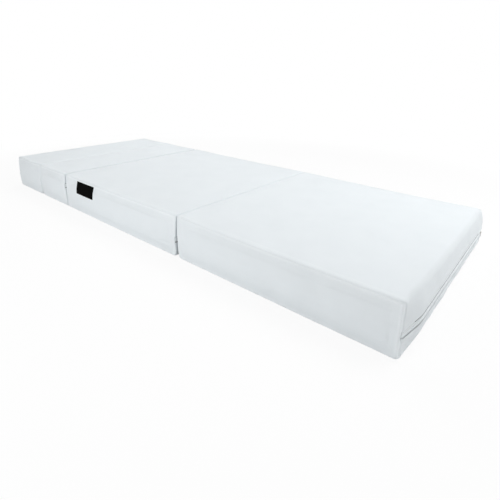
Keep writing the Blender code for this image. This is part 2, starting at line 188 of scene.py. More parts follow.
Plan = namedtuple("Plan", "arc fine coarse hold slot_shares roll_shares ring_shares")
FINE_PLAN = Plan(ARC_STEPS, FINE_STEP, COARSE_STEP, FINE_HOLD, SLOT_SHARES, ROLL_SHARES, RING_SHARES)
SIM_PLAN = Plan(SIM_ARC_STEPS, SIM_STEP, SIM_STEP, 0, SIM_SLOT_SHARES, SIM_ROLL_SHARES, SIM_RING_SHARES)


def graded_shares(length, plan):
    """Shares from 0 to 1 along a run, in fine steps at both ends that grow to coarse ones."""
    steps = [plan.fine] * max(1, plan.hold)
    while steps[-1] * STEP_GROWTH < plan.coarse:
        steps.append(steps[-1] * STEP_GROWTH)
    while 2 * sum(steps) > MOST_GRADED_SHARE * length and len(steps) > 1:
        steps.pop()
    edge = np.concatenate(([0], np.cumsum(steps)))
    count = max(1, round((length - 2 * edge[-1]) / plan.coarse))
    middle = np.linspace(edge[-1], length - edge[-1], count + 1)[1:-1]
    return np.concatenate((edge, middle, length - edge[::-1])) / length


def wall_of(block, side):
    return block.right_wall if side > 0 else block.left_wall


def wall_x(block, side, z, inset):
    """X of the end wall on one side (1 right, -1 left) at height z."""
    wall = wall_of(block, side)
    line = block.right if side > 0 else block.left
    gap = wall.foot_gap + (wall.top_gap - wall.foot_gap) * z / HEIGHT
    return line - side * (gap + inset)


def corner(block, side, up, inset, ease):
    """Centre and radius of a rounded corner. A free top corner is sharp where the ease is zero."""
    wall = wall_of(block, side)
    full = wall.top_radius if up else wall.foot_radius
    sharp = min(full, EDGE_ROLL + MIN_CORNER) if up and wall is FREE_END else full
    radius = max(sharp + (full - sharp) * ease - inset, MIN_CORNER)
    z = HEIGHT - inset - radius if up else inset + radius
    return wall_x(block, side, z, inset) - side * radius, z, radius


def arc(block, side, up, inset, ease, steps):
    """Points of a rounded corner, from the end wall to the flat top or bottom."""
    x, z, radius = corner(block, side, up, inset, ease)
    angles = np.linspace(0, 0.5 * math.pi, steps + 1)
    way = 1 if up else -1
    return np.stack((x + side * radius * np.cos(angles), z + way * radius * np.sin(angles)), axis=1)


def wall_run(block, side, inset, ease, plan):
    """Inner points of an end wall, upwards, with lines of constant height beside the zip slot."""
    low = corner(block, side, False, inset, ease)[1]
    high = corner(block, side, True, inset, ease)[1]
    slot = 0.5 * ZIP_SLOT * np.array(plan.slot_shares)
    below = graded_shares(block.zip_height - slot[-1] - END_FOOT_RADIUS, plan)[1:-1]
    above = graded_shares(HEIGHT - END_TOP_RADIUS - block.zip_height - slot[-1], plan)[1:-1]
    first = block.zip_height - slot[-1]
    last = block.zip_height + slot[-1]
    heights = np.concatenate(
        (
            low + (first - low) * below,
            block.zip_height - slot[::-1],
            block.zip_height + slot,
            last + (high - last) * above,
        )
    )
    return np.stack((wall_x(block, side, heights, inset), heights), axis=1)


def outline(block, inset, ease, plan):
    """Closed outline at an inset, as (points, corner places).

    It runs up the right wall, over the top, down the left wall and back along the bottom. The
    corner places are the middles of the four rounded corners, and the ease rounds the free top ones.
    """
    shares = graded_shares(block.right - block.left, plan)[1:-1, None]
    right_foot = arc(block, 1, False, inset, ease, plan.arc)[::-1]
    right_top = arc(block, 1, True, inset, ease, plan.arc)
    left_top = arc(block, -1, True, inset, ease, plan.arc)[::-1]
    left_foot = arc(block, -1, False, inset, ease, plan.arc)
    top = right_top[-1] + (left_top[0] - right_top[-1]) * shares
    foot = left_foot[-1] + (right_foot[0] - left_foot[-1]) * shares
    half = plan.arc // 2
    runs = (
        right_foot[half:],
        wall_run(block, 1, inset, ease, plan),
        right_top,
        top,
        left_top,
        wall_run(block, -1, inset, ease, plan)[::-1],
        left_foot,
        foot,
        right_foot[:half],
    )
    counts = np.cumsum([len(run) for run in runs])
    corners = (0, counts[1] + half, counts[3] + half, counts[5] + half)
    return np.concatenate(runs), corners


def rolled_y(angle, depth):
    return FLAT_HALF_WIDTH + (EDGE_ROLL - depth) * math.sin(angle)


def rolled_inset(angle, depth):
    return depth + (EDGE_ROLL - depth) * (1 - np.cos(angle))


def across_stations(plan):
    """Rows of the belt as (y, angle round the rolled edge), from the near seam to the far one."""
    angles = [0.5 * math.pi - share for share in plan.roll_shares[::-1]]
    rolled = [(rolled_y(angle, 0), angle) for angle in [0, *angles, 0.5 * math.pi]]
    shares = graded_shares(2 * FLAT_HALF_WIDTH, plan)[1:-1]
    flat = [(FLAT_HALF_WIDTH * (2 * share - 1), 0) for share in shares]
    near = [(-y, angle) for y, angle in rolled[::-1]]
    return near + flat + rolled


def coons(boundary, corners):
    """Inner grid of points that fills a closed boundary with four corners, as (rows, columns, points)."""
    first, second, third, fourth = corners
    right = boundary[first : second + 1]
    top = boundary[second : third + 1][::-1]
    left = boundary[third : fourth + 1][::-1]
    foot = np.concatenate((boundary[fourth:], boundary[:1]))

    def lengths(run):
        steps = np.linalg.norm(np.diff(run, axis=0), axis=1)
        walked = np.concatenate(([0], np.cumsum(steps)))
        return walked / walked[-1]

    along = (0.5 * (lengths(top) + lengths(foot)))[None, :, None]
    up = (0.5 * (lengths(left) + lengths(right)))[:, None, None]
    back = 1 - along
    down = 1 - up
    ruled = down * foot[None] + up * top[None] + back * left[:, None] + along * right[:, None]
    bilinear = back * down * foot[0] + along * down * foot[-1] + back * up * top[0] + along * up * top[-1]
    return ruled - bilinear


def grid_quads(numbers):
    """Four numbers for each quad between the rows and columns of a grid of numbers."""
    around = (numbers[:-1, :-1], numbers[:-1, 1:], numbers[1:, 1:], numbers[1:, :-1])
    return np.stack(around, axis=-1).reshape(-1, 4)


class Cushion:
    """Closed mesh of a block's cover, with what later steps need to know about its vertices.

    Attributes: points; seam, the way along the surface to the nearest side seam, below zero on the
    side panels; quads; maps, the weave coordinates of each quad's corners, in metres.
    """

    def __init__(self, block, plan):
        self.block = block
        self.plan = plan
        self.points = np.zeros((0, 3))
        self.seam = np.zeros(0)
        self.quads = []
        self.maps = []
        self.add_belt()
        self.add_side(-1)
        self.add_side(1)

    def add_points(self, points, seam):
        start = len(self.points)
        self.points = np.concatenate((self.points, points))
        self.seam = np.concatenate((self.seam, np.broadcast_to(seam, len(points))))
        return np.arange(start, start + len(points))

    def add_grid(self, numbers, u, v, flip):
        """Quads of a grid of vertex numbers, with the weave coordinates u and v of its points."""
        way = -1 if flip else 1
        maps = np.stack((grid_quads(u), grid_quads(v)), axis=-1)
        self.quads.append(grid_quads(numbers)[:, ::way])
        self.maps.append(maps[:, ::way])

    def add_belt(self):
        stations = across_stations(self.plan)
        flat_outline, self.corners = outline(self.block, 0, 1, self.plan)
        rows = []
        for y, angle in stations:
            ease = float(smooth_step((0.5 * WIDTH - abs(y)) / CORNER_EASE_LENGTH))
            ring = outline(self.block, rolled_inset(angle, 0), ease, self.plan)[0]
            points = soften(self.block, ring[:, 0], y, ring[:, 1])
            way = EDGE_ROLL * (0.5 * math.pi - angle) + max(0, FLAT_HALF_WIDTH - abs(y))
            rows.append(self.add_points(points, way))
        self.belt = np.array(rows)
        closed = np.concatenate((flat_outline, flat_outline[:1]))
        steps = np.linalg.norm(np.diff(closed, axis=0), axis=1)
        around = np.concatenate(([0], np.cumsum(steps)))
        across = [math.copysign(min(abs(y), FLAT_HALF_WIDTH) + EDGE_ROLL * a, y) for y, a in stations]
        wrapped = np.concatenate((self.belt, self.belt[:, :1]), axis=1)
        u, v = np.meshgrid(around, across)
        self.add_grid(wrapped, u, v, True)

    def add_side(self, side):
        """Side panel: rings inwards from the seam, then a grid that fills the last ring."""
        previous = self.belt[-1] if side > 0 else self.belt[0]
        for share in self.plan.ring_shares:
            extra = share * EDGE_ROLL
            ring = outline(self.block, EDGE_ROLL + extra, 0, self.plan)[0]
            points = soften(self.block, ring[:, 0], 0.5 * side * WIDTH, ring[:, 1])
            numbers = self.add_points(points, -extra)
            pair = np.array((previous, numbers))
            self.add_side_grid(np.concatenate((pair, pair[:, :1]), axis=1), side > 0)
            previous = numbers
        inner = coons(ring, self.corners)
        grid = np.zeros(inner.shape[:2], int)
        first, second, third, fourth = self.corners
        grid[:, -1] = previous[first : second + 1]
        grid[-1, :] = previous[second : third + 1][::-1]
        grid[:, 0] = previous[third : fourth + 1][::-1]
        grid[0, :-1] = previous[fourth:]
        inside = np.zeros(grid.shape, bool)
        inside[1:-1, 1:-1] = True
        x, z = inner[inside].T
        points = soften(self.block, x, 0.5 * side * WIDTH, z)
        grid[inside] = self.add_points(points, -extra - EDGE_ROLL)
        self.add_side_grid(grid, side > 0)

    def add_side_grid(self, numbers, flip):
        places = self.points[numbers]
        self.add_grid(numbers, places[..., 0], places[..., 2], flip)

    def mesh(self, name):
        quads = np.concatenate(self.quads)
        mesh = bpy.data.meshes.new(name)
        mesh.from_pydata(self.points.tolist(), [], quads.tolist())
        layer = mesh.uv_layers.new(name="weave")
        layer.uv.foreach_set("vector", np.concatenate(self.maps).astype(np.float32).ravel())
        mesh.shade_smooth()
        return mesh


def add_object(name, mesh):
    thing = bpy.data.objects.new(name, mesh)
    bpy.context.scene.collection.objects.link(thing)
    return thing


def vertex_values(mesh, key):
    found = np.zeros(len(mesh.vertices) * 3, np.float32)
    mesh.vertices.foreach_get(key, found)
    return found.reshape(-1, 3).astype(float)


# Noise, cloth and seams


def noise(points, cells, seed):
    """Smooth noise from -1 to 1 at points, on a lattice of cells with fixed random values."""
    spots = points / np.asarray(cells, float)
    base = np.floor(spots).astype(int)
    low = base.min(axis=0)
    base = base - low
    values = np.random.default_rng(seed).uniform(-1, 1, base.max(axis=0) + 2)
    share = spots - np.floor(spots)
    share = share**3 * (share * (6 * share - 15) + 10)
    total = np.zeros(len(points))
    for corner_step in np.ndindex(2, 2, 2):
        weight = np.prod(np.where(corner_step, share, 1 - share), axis=1)
        total += weight * values[tuple((base + corner_step).T)]
    return total


# Cloth simulation of a cover, and what holds it
PUFF_SETTINGS = {
    "mass": 0.3,
    "tension_stiffness": 12,
    "compression_stiffness": 12,
    "shear_stiffness": 6,
    "bending_stiffness": 0.4,
    "use_pressure": True,
    "uniform_pressure_force": 3.0,
    "vertex_group_mass": "held",
    "shrink_min": -0.012,
}
PUFF_FRAMES = 20
PUFF_LIMIT = 0.004
LEAST_MOVE = 1e-7
SPREAD_ROUNDS = 24
TOP_PUFF_SHARE = 0.4
SEAM_HOLD = 0.012
FOLD_HOLD = 0.016
ZIP_HOLD = 0.012
FOOT_HOLD = 0.020
TOP_ROOM = 0.0008
TOP_EASE = 0.0005
FOLD_MARGIN = 0.0004


def bump(distance, width):
    return np.exp(-((distance / width) ** 2))


def fold_sides(block):
    """(side, line, wall) of each end of a block that lies in a fold."""
    ends = ((1, block.right, block.right_wall), (-1, block.left, block.left_wall))
    return [end for end in ends if end[2] is not FREE_END]


def held_share(block, points, seam):
    """How firmly each point is held: whole at seams, folds, foot and zip, nothing between."""
    held = bump(seam, SEAM_HOLD)
    for side, line, _ in fold_sides(block):
        held = np.maximum(held, bump(np.maximum(0, side * (line - points[:, 0]) - OPEN_RADIUS), FOLD_HOLD))
    if wall_of(block, block.zip_side) is FREE_END:
        wall = wall_x(block, block.zip_side, block.zip_height, 0)
        near_wall = 1 - smooth_step((block.zip_side * (wall - points[:, 0]) - EDGE_ROLL) / END_TOP_RADIUS)
        beyond = np.abs(points[:, 2] - block.zip_height) - TAPE_BAND
        held = np.maximum(held, near_wall * (1 - smooth_step(beyond / ZIP_HOLD)))
    return np.maximum(held, 1 - smooth_step(points[:, 2] / FOOT_HOLD))


def puffed_by_cloth(block):
    """(rest points, triangles, moves) of a coarse cover after its cloth simulation."""
    cushion = Cushion(block, SIM_PLAN)
    mesh = cushion.mesh("puff")
    rest = vertex_values(mesh, "co")
    thing = add_object("puff", mesh)
    group = thing.vertex_groups.new(name="held")
    for number, weight in enumerate(held_share(block, rest, cushion.seam)):
        group.add([number], float(weight), "REPLACE")
    cloth = thing.modifiers.new("cloth", "CLOTH")
    for key, value in PUFF_SETTINGS.items():
        setattr(cloth.settings, key, value)
    cloth.settings.effector_weights.gravity = 0
    cloth.point_cache.frame_start = 1
    cloth.point_cache.frame_end = PUFF_FRAMES
    scene = bpy.context.scene
    for step in range(1, PUFF_FRAMES + 1):
        scene.frame_set(step)
    settled = thing.evaluated_get(bpy.context.evaluated_depsgraph_get())
    moves = vertex_values(settled.data, "co") - rest
    scene.frame_set(1)
    mesh.calc_loop_triangles()
    triangles = np.array([triangle.vertices[:] for triangle in mesh.loop_triangles])
    bpy.data.objects.remove(thing)
    reach = np.maximum(np.linalg.norm(moves, axis=1, keepdims=True), LEAST_MOVE)
    moves *= PUFF_LIMIT * np.tanh(reach / PUFF_LIMIT) / reach
    return rest, triangles, moves


def carried(rest, triangles, moves, points):
    """Moves at points near a surface, from the moves of its vertices."""
    tree = BVHTree.FromPolygons(rest.tolist(), triangles.tolist())
    nearest = [tree.find_nearest(point) for point in points.tolist()]
    spots = np.array([found[0] for found in nearest])
    corners = triangles[[found[2] for found in nearest]]
    first, second, third = (rest[corners[:, number]] for number in range(3))
    normal = np.cross(second - first, third - first)
    size = (normal**2).sum(axis=1)
    second_share = (np.cross(spots - first, third - first) * normal).sum(axis=1) / size
    third_share = (np.cross(second - first, spots - first) * normal).sum(axis=1) / size
    shares = np.stack((1 - second_share - third_share, second_share, third_share), axis=1)
    return sum(shares[:, number, None] * moves[corners[:, number]] for number in range(3))


def spread(values, quads, rounds):
    """Averages values between neighbouring vertices, several times."""
    edges = np.concatenate([quads[:, [start, (start + 1) % 4]] for start in range(4)])
    count = np.bincount(edges.ravel(), minlength=len(values))[:, None]
    for _ in range(rounds):
        total = np.zeros_like(values)
        for axis in range(3):
            total[:, axis] = np.bincount(edges[:, 0], values[edges[:, 1], axis], len(values))
            total[:, axis] += np.bincount(edges[:, 1], values[edges[:, 0], axis], len(values))
        values = 0.5 * (values + total / count)
    return values


# Relief of the cover: side seams with their beads and gathers, soft waves, zip slot, stitch lines
GROOVE_DEPTH = 0.0004
WALL_GROOVE_DEPTH = 0.0009
GROOVE_WIDTH = 0.0007
BEAD_RISE = 0.0005
BEAD_PLACE = 0.0030
BEAD_WIDTH = 0.0021
ALLOWANCE_RISE = 0.0006
ALLOWANCE_REACH = 0.0125
ALLOWANCE_FADE = 0.0035
ALLOWANCE_CELL = 0.160
GATHER_RISE = 0.0003
GATHER_CELL = 0.017
GATHER_REACH = 0.012
GATHER_SEED = 11
ALLOWANCE_SEED = 12
# Painted highlight along the side seams: its place and width beside the seam, its mottle, and its least
# share
SEAM_HIGHLIGHT_PLACE = 0.0010
SEAM_HIGHLIGHT_WIDTH = 0.0042
SEAM_HIGHLIGHT_CELL = 0.300
SEAM_HIGHLIGHT_SEED = 13
SEAM_HIGHLIGHT_LEAST_SHARE = 0.5
ALLOWANCE_HIGHLIGHT_SHARE = 0.4
WAVE_RISE = 0.0009
WAVE_CELL = 0.110
RIPPLE_RISE = 0.0003
RIPPLE_CELL = 0.034
SLOT_DEPTH = 0.0052
POCKET_DEPTH = 0.0060
SLOT_END = 0.0015
SLOT_LIP = 0.0005
SLOT_LIP_WIDTH = 0.0016
FOLD_STITCH_PLACE = 0.009
FOLD_STITCH_STAGGER = 0.0012
DENT_DEPTH = 0.0006
DENT_WIDTH = 0.0014


def end_wall_share(block, points):
    """How far each point lies on an end wall rather than on the top or the foot."""
    walls = [side * (points[:, 0] - wall_x(block, side, points[:, 2], 0)) for side in (1, -1)]
    return smooth_step((np.maximum(*walls) + EDGE_ROLL + OPEN_RADIUS) / OPEN_RADIUS)


def seam_relief(block, points, seam):
    """Side seams: a groove with a bead on each side, gathers, and the allowance folded under the belt."""
    on_wall = end_wall_share(block, points)
    depth = GROOVE_DEPTH + (WALL_GROOVE_DEPTH - GROOVE_DEPTH) * on_wall
    groove = -depth * bump(seam, GROOVE_WIDTH)
    beads = BEAD_RISE * (bump(seam - BEAD_PLACE, BEAD_WIDTH) + bump(seam + BEAD_PLACE, BEAD_WIDTH))
    gather = GATHER_RISE * noise(points, (GATHER_CELL, WIDTH, GATHER_CELL), GATHER_SEED)
    swell = 0.5 + 0.5 * noise(points, (ALLOWANCE_CELL, WIDTH, HEIGHT), ALLOWANCE_SEED)
    allowance = ALLOWANCE_RISE * swell * (1 - on_wall) * (seam > 0)
    allowance *= 1 - smooth_step((seam - ALLOWANCE_REACH) / ALLOWANCE_FADE)
    return groove + beads + allowance + gather * bump(np.abs(seam) - BEAD_PLACE, GATHER_REACH)


def painted_seam_highlight_share(block, points, seam):
    """Painted highlight, from 0 to 1: how much lighter the cloth is painted over the folded edges inside
    each seam and at the allowance's edge.
    """
    swell = 0.5 + 0.5 * noise(points, (SEAM_HIGHLIGHT_CELL, WIDTH, HEIGHT), SEAM_HIGHLIGHT_SEED)
    edge = bump(seam + SEAM_HIGHLIGHT_PLACE, SEAM_HIGHLIGHT_WIDTH) * (SEAM_HIGHLIGHT_LEAST_SHARE + (1 - SEAM_HIGHLIGHT_LEAST_SHARE) * swell)
    inner = smooth_step(1 - np.abs(seam - ALLOWANCE_REACH) / ALLOWANCE_FADE)
    return np.maximum(edge, ALLOWANCE_HIGHLIGHT_SHARE * swell * inner) * (1 - 0.5 * end_wall_share(block, points))


def slot_relief(block, points, seam):
    """Zip slot in the zip wall, with the pocket behind the lower cover's hem."""
    wall = wall_x(block, block.zip_side, points[:, 2], 0)
    on_wall = (block.zip_side * (points[:, 0] - wall) > -EDGE_ROLL - FIT_GAP) & (seam > 0)
    up = points[:, 2] - block.zip_height
    open_here = (up < 0.5 * ZIP_SLOT) & (up > -0.5 * ZIP_SLOT - POCKET_DEPTH)
    floor = -SLOT_DEPTH * smooth_step((seam - SLOT_END) / SLOT_END)
    lip = SLOT_LIP * bump(up - 0.5 * ZIP_SLOT - SLOT_LIP_WIDTH, SLOT_LIP_WIDTH)
    return on_wall * np.where(open_here, floor, lip)


def crease_is_up(wall):
    return wall.top_gap < wall.foot_gap


def dent_relief(block, points, seam):
    """Dents of the stitch lines beside the folds, on the side where the blocks are joined."""
    relief = np.zeros(len(points))
    for side, line, wall in fold_sides(block):
        at_crease = (points[:, 2] > 0.5 * HEIGHT) == crease_is_up(wall)
        off = side * (line - points[:, 0]) - FOLD_STITCH_PLACE - side * FOLD_STITCH_STAGGER
        relief -= DENT_DEPTH * bump(off, DENT_WIDTH) * at_crease * (seam > 0)
    return relief


def add_cover(block, seed, material):
    """The sewn cover of one block, as a closed cushion. Returns its surface for what lies on it."""
    cushion = Cushion(block, FINE_PLAN)
    quads = np.concatenate(cushion.quads)
    plain = cushion.points.copy()
    held = held_share(block, plain, cushion.seam)
    moves = spread(carried(*puffed_by_cloth(block), plain), quads, SPREAD_ROUNDS)
    moves[:, 2] *= TOP_PUFF_SHARE
    cushion.points += moves * (1 - held)[:, None]
    ceiling = HEIGHT + CROWN - TOP_ROOM
    room = (ceiling - cushion.points[:, 2]) / TOP_EASE
    cushion.points[:, 2] = ceiling - TOP_EASE * np.logaddexp(0, room)
    name = f"{block.name}_cover"
    mesh = cushion.mesh(name)
    normals = vertex_values(mesh, "normal")
    relief = seam_relief(block, plain, cushion.seam)
    relief += slot_relief(block, plain, cushion.seam) + dent_relief(block, plain, cushion.seam)
    relief += (1 - held) * WAVE_RISE * noise(plain, (WAVE_CELL,) * 3, seed)
    relief += (1 - held) * RIPPLE_RISE * noise(plain, (RIPPLE_CELL,) * 3, seed + len(BLOCKS))
    points = cushion.points + normals * relief[:, None]
    for side, line, _ in fold_sides(block):
        points[:, 0] = side * np.minimum(side * points[:, 0], side * line - FOLD_MARGIN)
    points[:, 2] = np.clip(points[:, 2], 0, HEIGHT + CROWN)
    mesh.vertices.foreach_set("co", points.astype(np.float32).ravel())
    mesh.update()
    # Painted highlight: the cloth material lightens the cover by this share along its seams
    layers = mesh.attributes.new("layers", "FLOAT", "POINT")
    layers.data.foreach_set("value", painted_seam_highlight_share(block, plain, cushion.seam).astype(np.float32))
    mesh.materials.append(material)
    thing = add_object(name, mesh)
    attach(thing, block.name)
    soft_nodes = ("foam_core", "upper_cover", "lower_cover", "near_side", "far_side")
    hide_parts(*(f"{block.name}_{node}" for node in soft_nodes))
    return BVHTree.FromPolygons(points.tolist(), quads.tolist())


# Bars: short rounded rods, all alike, for the zip's teeth, the stitches and the pull's ribs
BAR_SIDES = 6
BAR_TURNS = 2 * math.pi * np.arange(BAR_SIDES) / BAR_SIDES
BAR_RING_SHARES = (0.45, 1, 1, 1, 0.45)
SHARP_ANGLE = math.radians(40)


def bar_faces(count, rings, sides):
    """Faces of closed rods, each with so many rings of so many sides."""
    numbers = np.arange(rings * sides).reshape(rings, sides)
    faces = grid_quads(np.pad(numbers, ((0, 0), (0, 1)), "wrap")).tolist()
    faces += [numbers[0, ::-1].tolist(), numbers[-1].tolist()]
    return [[corner + number * numbers.size for corner in face] for number in range(count) for face in faces]


def unit_rows(vectors):
    return vectors / np.linalg.norm(vectors, axis=1, keepdims=True)


def bars(paths, across, outwards, radius):
    """(points, faces) of rods along paths of five points each, round by two directions at each rod."""
    size = radius * np.array(BAR_RING_SHARES)[None, :, None, None]
    turns = BAR_TURNS[:, None]
    ring = np.cos(turns) * across[:, None, None] + np.sin(turns) * outwards[:, None, None]
    points = paths[:, :, None] + size * ring
    return points.reshape(-1, 3), bar_faces(len(paths), len(BAR_RING_SHARES), BAR_SIDES)


def joined(parts):
    """One (points, faces) of several."""
    points = []
    faces = []
    start = 0
    for part_points, part_faces in parts:
        points.append(np.asarray(part_points))
        faces += [[corner + start for corner in face] for face in part_faces]
        start += len(part_points)
    return np.concatenate(points), faces


def add_piece(name, shape, material, body, replaced=()):
    points, faces = shape
    mesh = bpy.data.meshes.new(name)
    mesh.from_pydata(np.asarray(points).tolist(), [], faces)
    form = bmesh.new()
    form.from_mesh(mesh)
    bmesh.ops.recalc_face_normals(form, faces=form.faces)
    form.to_mesh(mesh)
    form.free()
    mesh.shade_smooth()
    mesh.set_sharp_from_angle(angle=SHARP_ANGLE)
    mesh.materials.append(material)
    thing = add_object(name, mesh)
    if body:
        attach(thing, body)
    if replaced:
        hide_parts(*replaced)
    return thing


# Stitches
STITCH_PITCH = 0.0042
STITCH_LENGTH = 0.0030
THREAD_RADIUS = 0.00032
STITCH_LIFT = 0.0002
STITCH_LIFT_SHARES = (-1, 1, 1.3, 1, -1)
STITCH_PART_SHARES = (0, 0.2, 0.5, 0.8, 1)
ZIP_STITCH_PLACE = 0.0026
RAY_ROOM = 0.030


def stitch_row(surface, start, end, inwards):
    """Row of stitches from start to end, laid on a surface along a ray direction."""
    start, end, inwards = (np.array(v, float) for v in (start, end, inwards))
    way = np.linalg.norm(end - start)
    along = (end - start) / way
    count = max(1, int(way / STITCH_PITCH))
    paths = []
    ups = []
    for number in range(count):
        centre = way * (number + 0.5) / count
        found = []
        for place in (centre - 0.5 * STITCH_LENGTH, centre + 0.5 * STITCH_LENGTH):
            origin = start + along * place - inwards * RAY_ROOM
            spot, normal, _, _ = surface.ray_cast(origin.tolist(), inwards.tolist())
            if spot is not None:
                found.append((np.array(spot), np.array(normal)))
        if len(found) < 2:
            continue
        up = found[0][1] + found[1][1]
        up *= math.copysign(1, -float(up @ inwards)) / np.linalg.norm(up)
        low, high = found[0][0], found[1][0]
        parts = zip(STITCH_PART_SHARES, STITCH_LIFT_SHARES)
        paths.append([low + (high - low) * share + up * STITCH_LIFT * lift for share, lift in parts])
        ups.append(up)
    ups = np.array(ups)
    return bars(np.array(paths), unit_rows(np.cross(ups, along)), ups, THREAD_RADIUS)


def add_stitching(block, surface, hem_surface, material):
    """Stitch lines of a block: beside the folds, above its zip, and on the hem below it."""
    reach = FLAT_HALF_WIDTH
    rows = []
    for side, line, wall in fold_sides(block):
        up = crease_is_up(wall)
        x = line - side * FOLD_STITCH_PLACE - FOLD_STITCH_STAGGER
        z = HEIGHT if up else 0
        rows.append(stitch_row(surface, (x, -reach, z), (x, reach, z), (0, 0, -1 if up else 1)))
    x = wall_x(block, block.zip_side, block.zip_height, 0)
    above = 0.5 * ZIP_SLOT + ZIP_STITCH_PLACE
    for cloth, up in ((surface, above), (hem_surface, -HEM_STITCH_PLACE)):
        z = block.zip_height + up
        rows.append(stitch_row(cloth, (x, -reach, z), (x, reach, z), (-block.zip_side, 0, 0)))
    add_piece(f"{block.name}_stitching", joined(rows), material, block.name)


# Zips. A tape is flat under the coil and has a corded edge. The upper one goes in behind the cover's lip.
# The lower cover's hem stands off the lower tape, over a narrow pocket.
# The grey outer parts of both tapes are painted shade, in the trench under the upper lip and in the pocket.
TAPE_STEP = 0.004
TAPE_THICKNESS = 0.0007
TAPE_FLAT = 0.0042
TAPE_DEPTH = 0.0011
HALF_GAP = 0.5 * FIT_GAP
CORD_SIZE = 0.0020
UPPER_FOOT = 0.0071
UPPER_FOOT_DEPTH = 0.0036
UPPER_REACH = 0.0092
UPPER_DEPTH = 0.0044
UPPER_SHADE_FROM = 0.0064
LOWER_FOOT = 0.0074
LOWER_FOOT_DEPTH = 0.0020
LOWER_REACH = 0.0132
LOWER_DEPTH = 0.0034
LOWER_BEND_DEPTH = 0.0035
LOWER_SHADE_FROM = 0.0066

# Faces of the corded edges, as shares of the cord's size along the tape and off it
UPPER_CORD_SHARES = ((0.2, 0.4), (0.4, 0.8), (0.7, 1), (1, 0.8), (1.2, 0.3))
LOWER_CORD_SHARES = ((0.2, 0.4), (0.4, 0.8), (0.7, 1), (1, 0.85), (1.3, 0.45))

# A tape's sizes are taken from the zip's line: its cord, the cord's foot, the hidden edge, the bends of its
# back, and where its border of grey painted shade starts, in the trenches under the lips and in the pocket
Tape = namedtuple("Tape", "label way_up cord_shares foot foot_depth reach depth bends border")
UPPER_SIZES = (UPPER_FOOT, UPPER_FOOT_DEPTH, UPPER_REACH, UPPER_DEPTH, (), UPPER_SHADE_FROM)
LOWER_BENDS = ((0.5 * ZIP_SLOT, LOWER_BEND_DEPTH),)
LOWER_SIZES = (LOWER_FOOT, LOWER_FOOT_DEPTH, LOWER_REACH, LOWER_DEPTH, LOWER_BENDS, LOWER_SHADE_FROM)
TAPES = (
    Tape("upper", 1, UPPER_CORD_SHARES, *UPPER_SIZES),
    Tape("lower", -1, LOWER_CORD_SHARES, *LOWER_SIZES),
)

# The hem's section from its foot, as shares of its rise: places upwards, and rises off the wall
HEM_FOOT = 0.0165
HEM_RISE = 0.0010
HEM_SHARES = (
    (0, -0.6), (1.5, 0.1), (3, 0.6), (4.7, 0.9), (6.3, 1), (6.9, 0.8),
    (7, 0.5), (6.7, 0.2), (5, 0), (3, -0.3), (0, -1.4),
)
HEM_STITCH_PLACE = 0.0140
GAPE_LENGTH = 0.030
GAPE_RISE = 0.0010
GAPE_LIFT = 0.0040

# The coil's tooth, as shares of its reach from the zip's line and of its depth
COIL_PITCH = 0.0020
COIL_RADIUS = 0.00046
COIL_SLANT = 0.0003
COIL_REACH = 0.0025
COIL_DEPTH = 0.0010
COIL_SHARES = ((1, 2.1), (0.92, 1.3), (0.48, 1), (0.04, 1.2), (-0.16, 1.7))
ZIP_END_ROOM = 0.0020
ZIP_REACH = FLAT_HALF_WIDTH + 0.5 * math.pi * EDGE_ROLL - ZIP_END_ROOM
ZIP_WAYS = np.linspace(-ZIP_REACH, ZIP_REACH, round(2 * ZIP_REACH / TAPE_STEP) + 1)[:, None]


def zip_points(block, way, depth, up):
    """Places in the zip wall: way along the zip from its middle, depth under the cover's face."""
    over = np.maximum(0, np.abs(way) - FLAT_HALF_WIDTH)
    angle = over / EDGE_ROLL
    y = np.sign(way) * (np.abs(way) - over + (EDGE_ROLL - depth) * np.sin(angle))
    z = block.zip_height + up
    x = wall_x(block, block.zip_side, z, rolled_inset(angle, depth))
    return soften(block, x, y, z)


def along_zip(block, ups, depths):
    """(points, faces) of a section swept along the zip, where ups and depths can vary along it."""
    points = zip_points(block, ZIP_WAYS, depths, ups)
    return points.reshape(-1, 3), bar_faces(1, *points.shape[:2])


def closing_share(block):
    """One at the near end of a free end's zip, where the slot narrows, and zero beyond it."""
    free = wall_of(block, block.zip_side) is FREE_END
    return free * (1 - smooth_step((ZIP_WAYS + ZIP_REACH) / GAPE_LENGTH))


def tape_form(block, tape):
    """Woven tape from the middle of the slot to behind the cover, by its face and back."""
    flat = [(HALF_GAP, TAPE_DEPTH), (TAPE_FLAT, TAPE_DEPTH)]
    cord = [(TAPE_FLAT + CORD_SIZE * up, TAPE_DEPTH - CORD_SIZE * rise) for up, rise in tape.cord_shares]
    edge = [(tape.foot, tape.foot_depth), (tape.reach, tape.depth)]
    back = [(tape.reach, tape.depth + TAPE_THICKNESS), *tape.bends, (HALF_GAP, TAPE_DEPTH + TAPE_THICKNESS)]
    section = flat + cord + edge + back
    ups, depths = np.array(section).T
    sink = GAPE_RISE * closing_share(block) * (ups > TAPE_FLAT)
    return along_zip(block, tape.way_up * ups[None], depths + sink)


def hem_form(block):
    """Folded edge of the lower cover, which gapes and rises at the near end of a free end's zip."""
    ups, rises = HEM_RISE * np.array(HEM_SHARES).T
    share = closing_share(block) * smooth_step(ups / ups.max())
    return along_zip(block, ups - HEM_FOOT + GAPE_LIFT * share, -rises - GAPE_RISE * share)


def add_hem(block, material):
    """Hem of the lower cover. Returns its surface for the stitches on it."""
    points, faces = hem_form(block)
    add_piece(f"{block.name}_zip_hem", (points, faces), material, block.name)
    return BVHTree.FromPolygons(points.tolist(), faces)


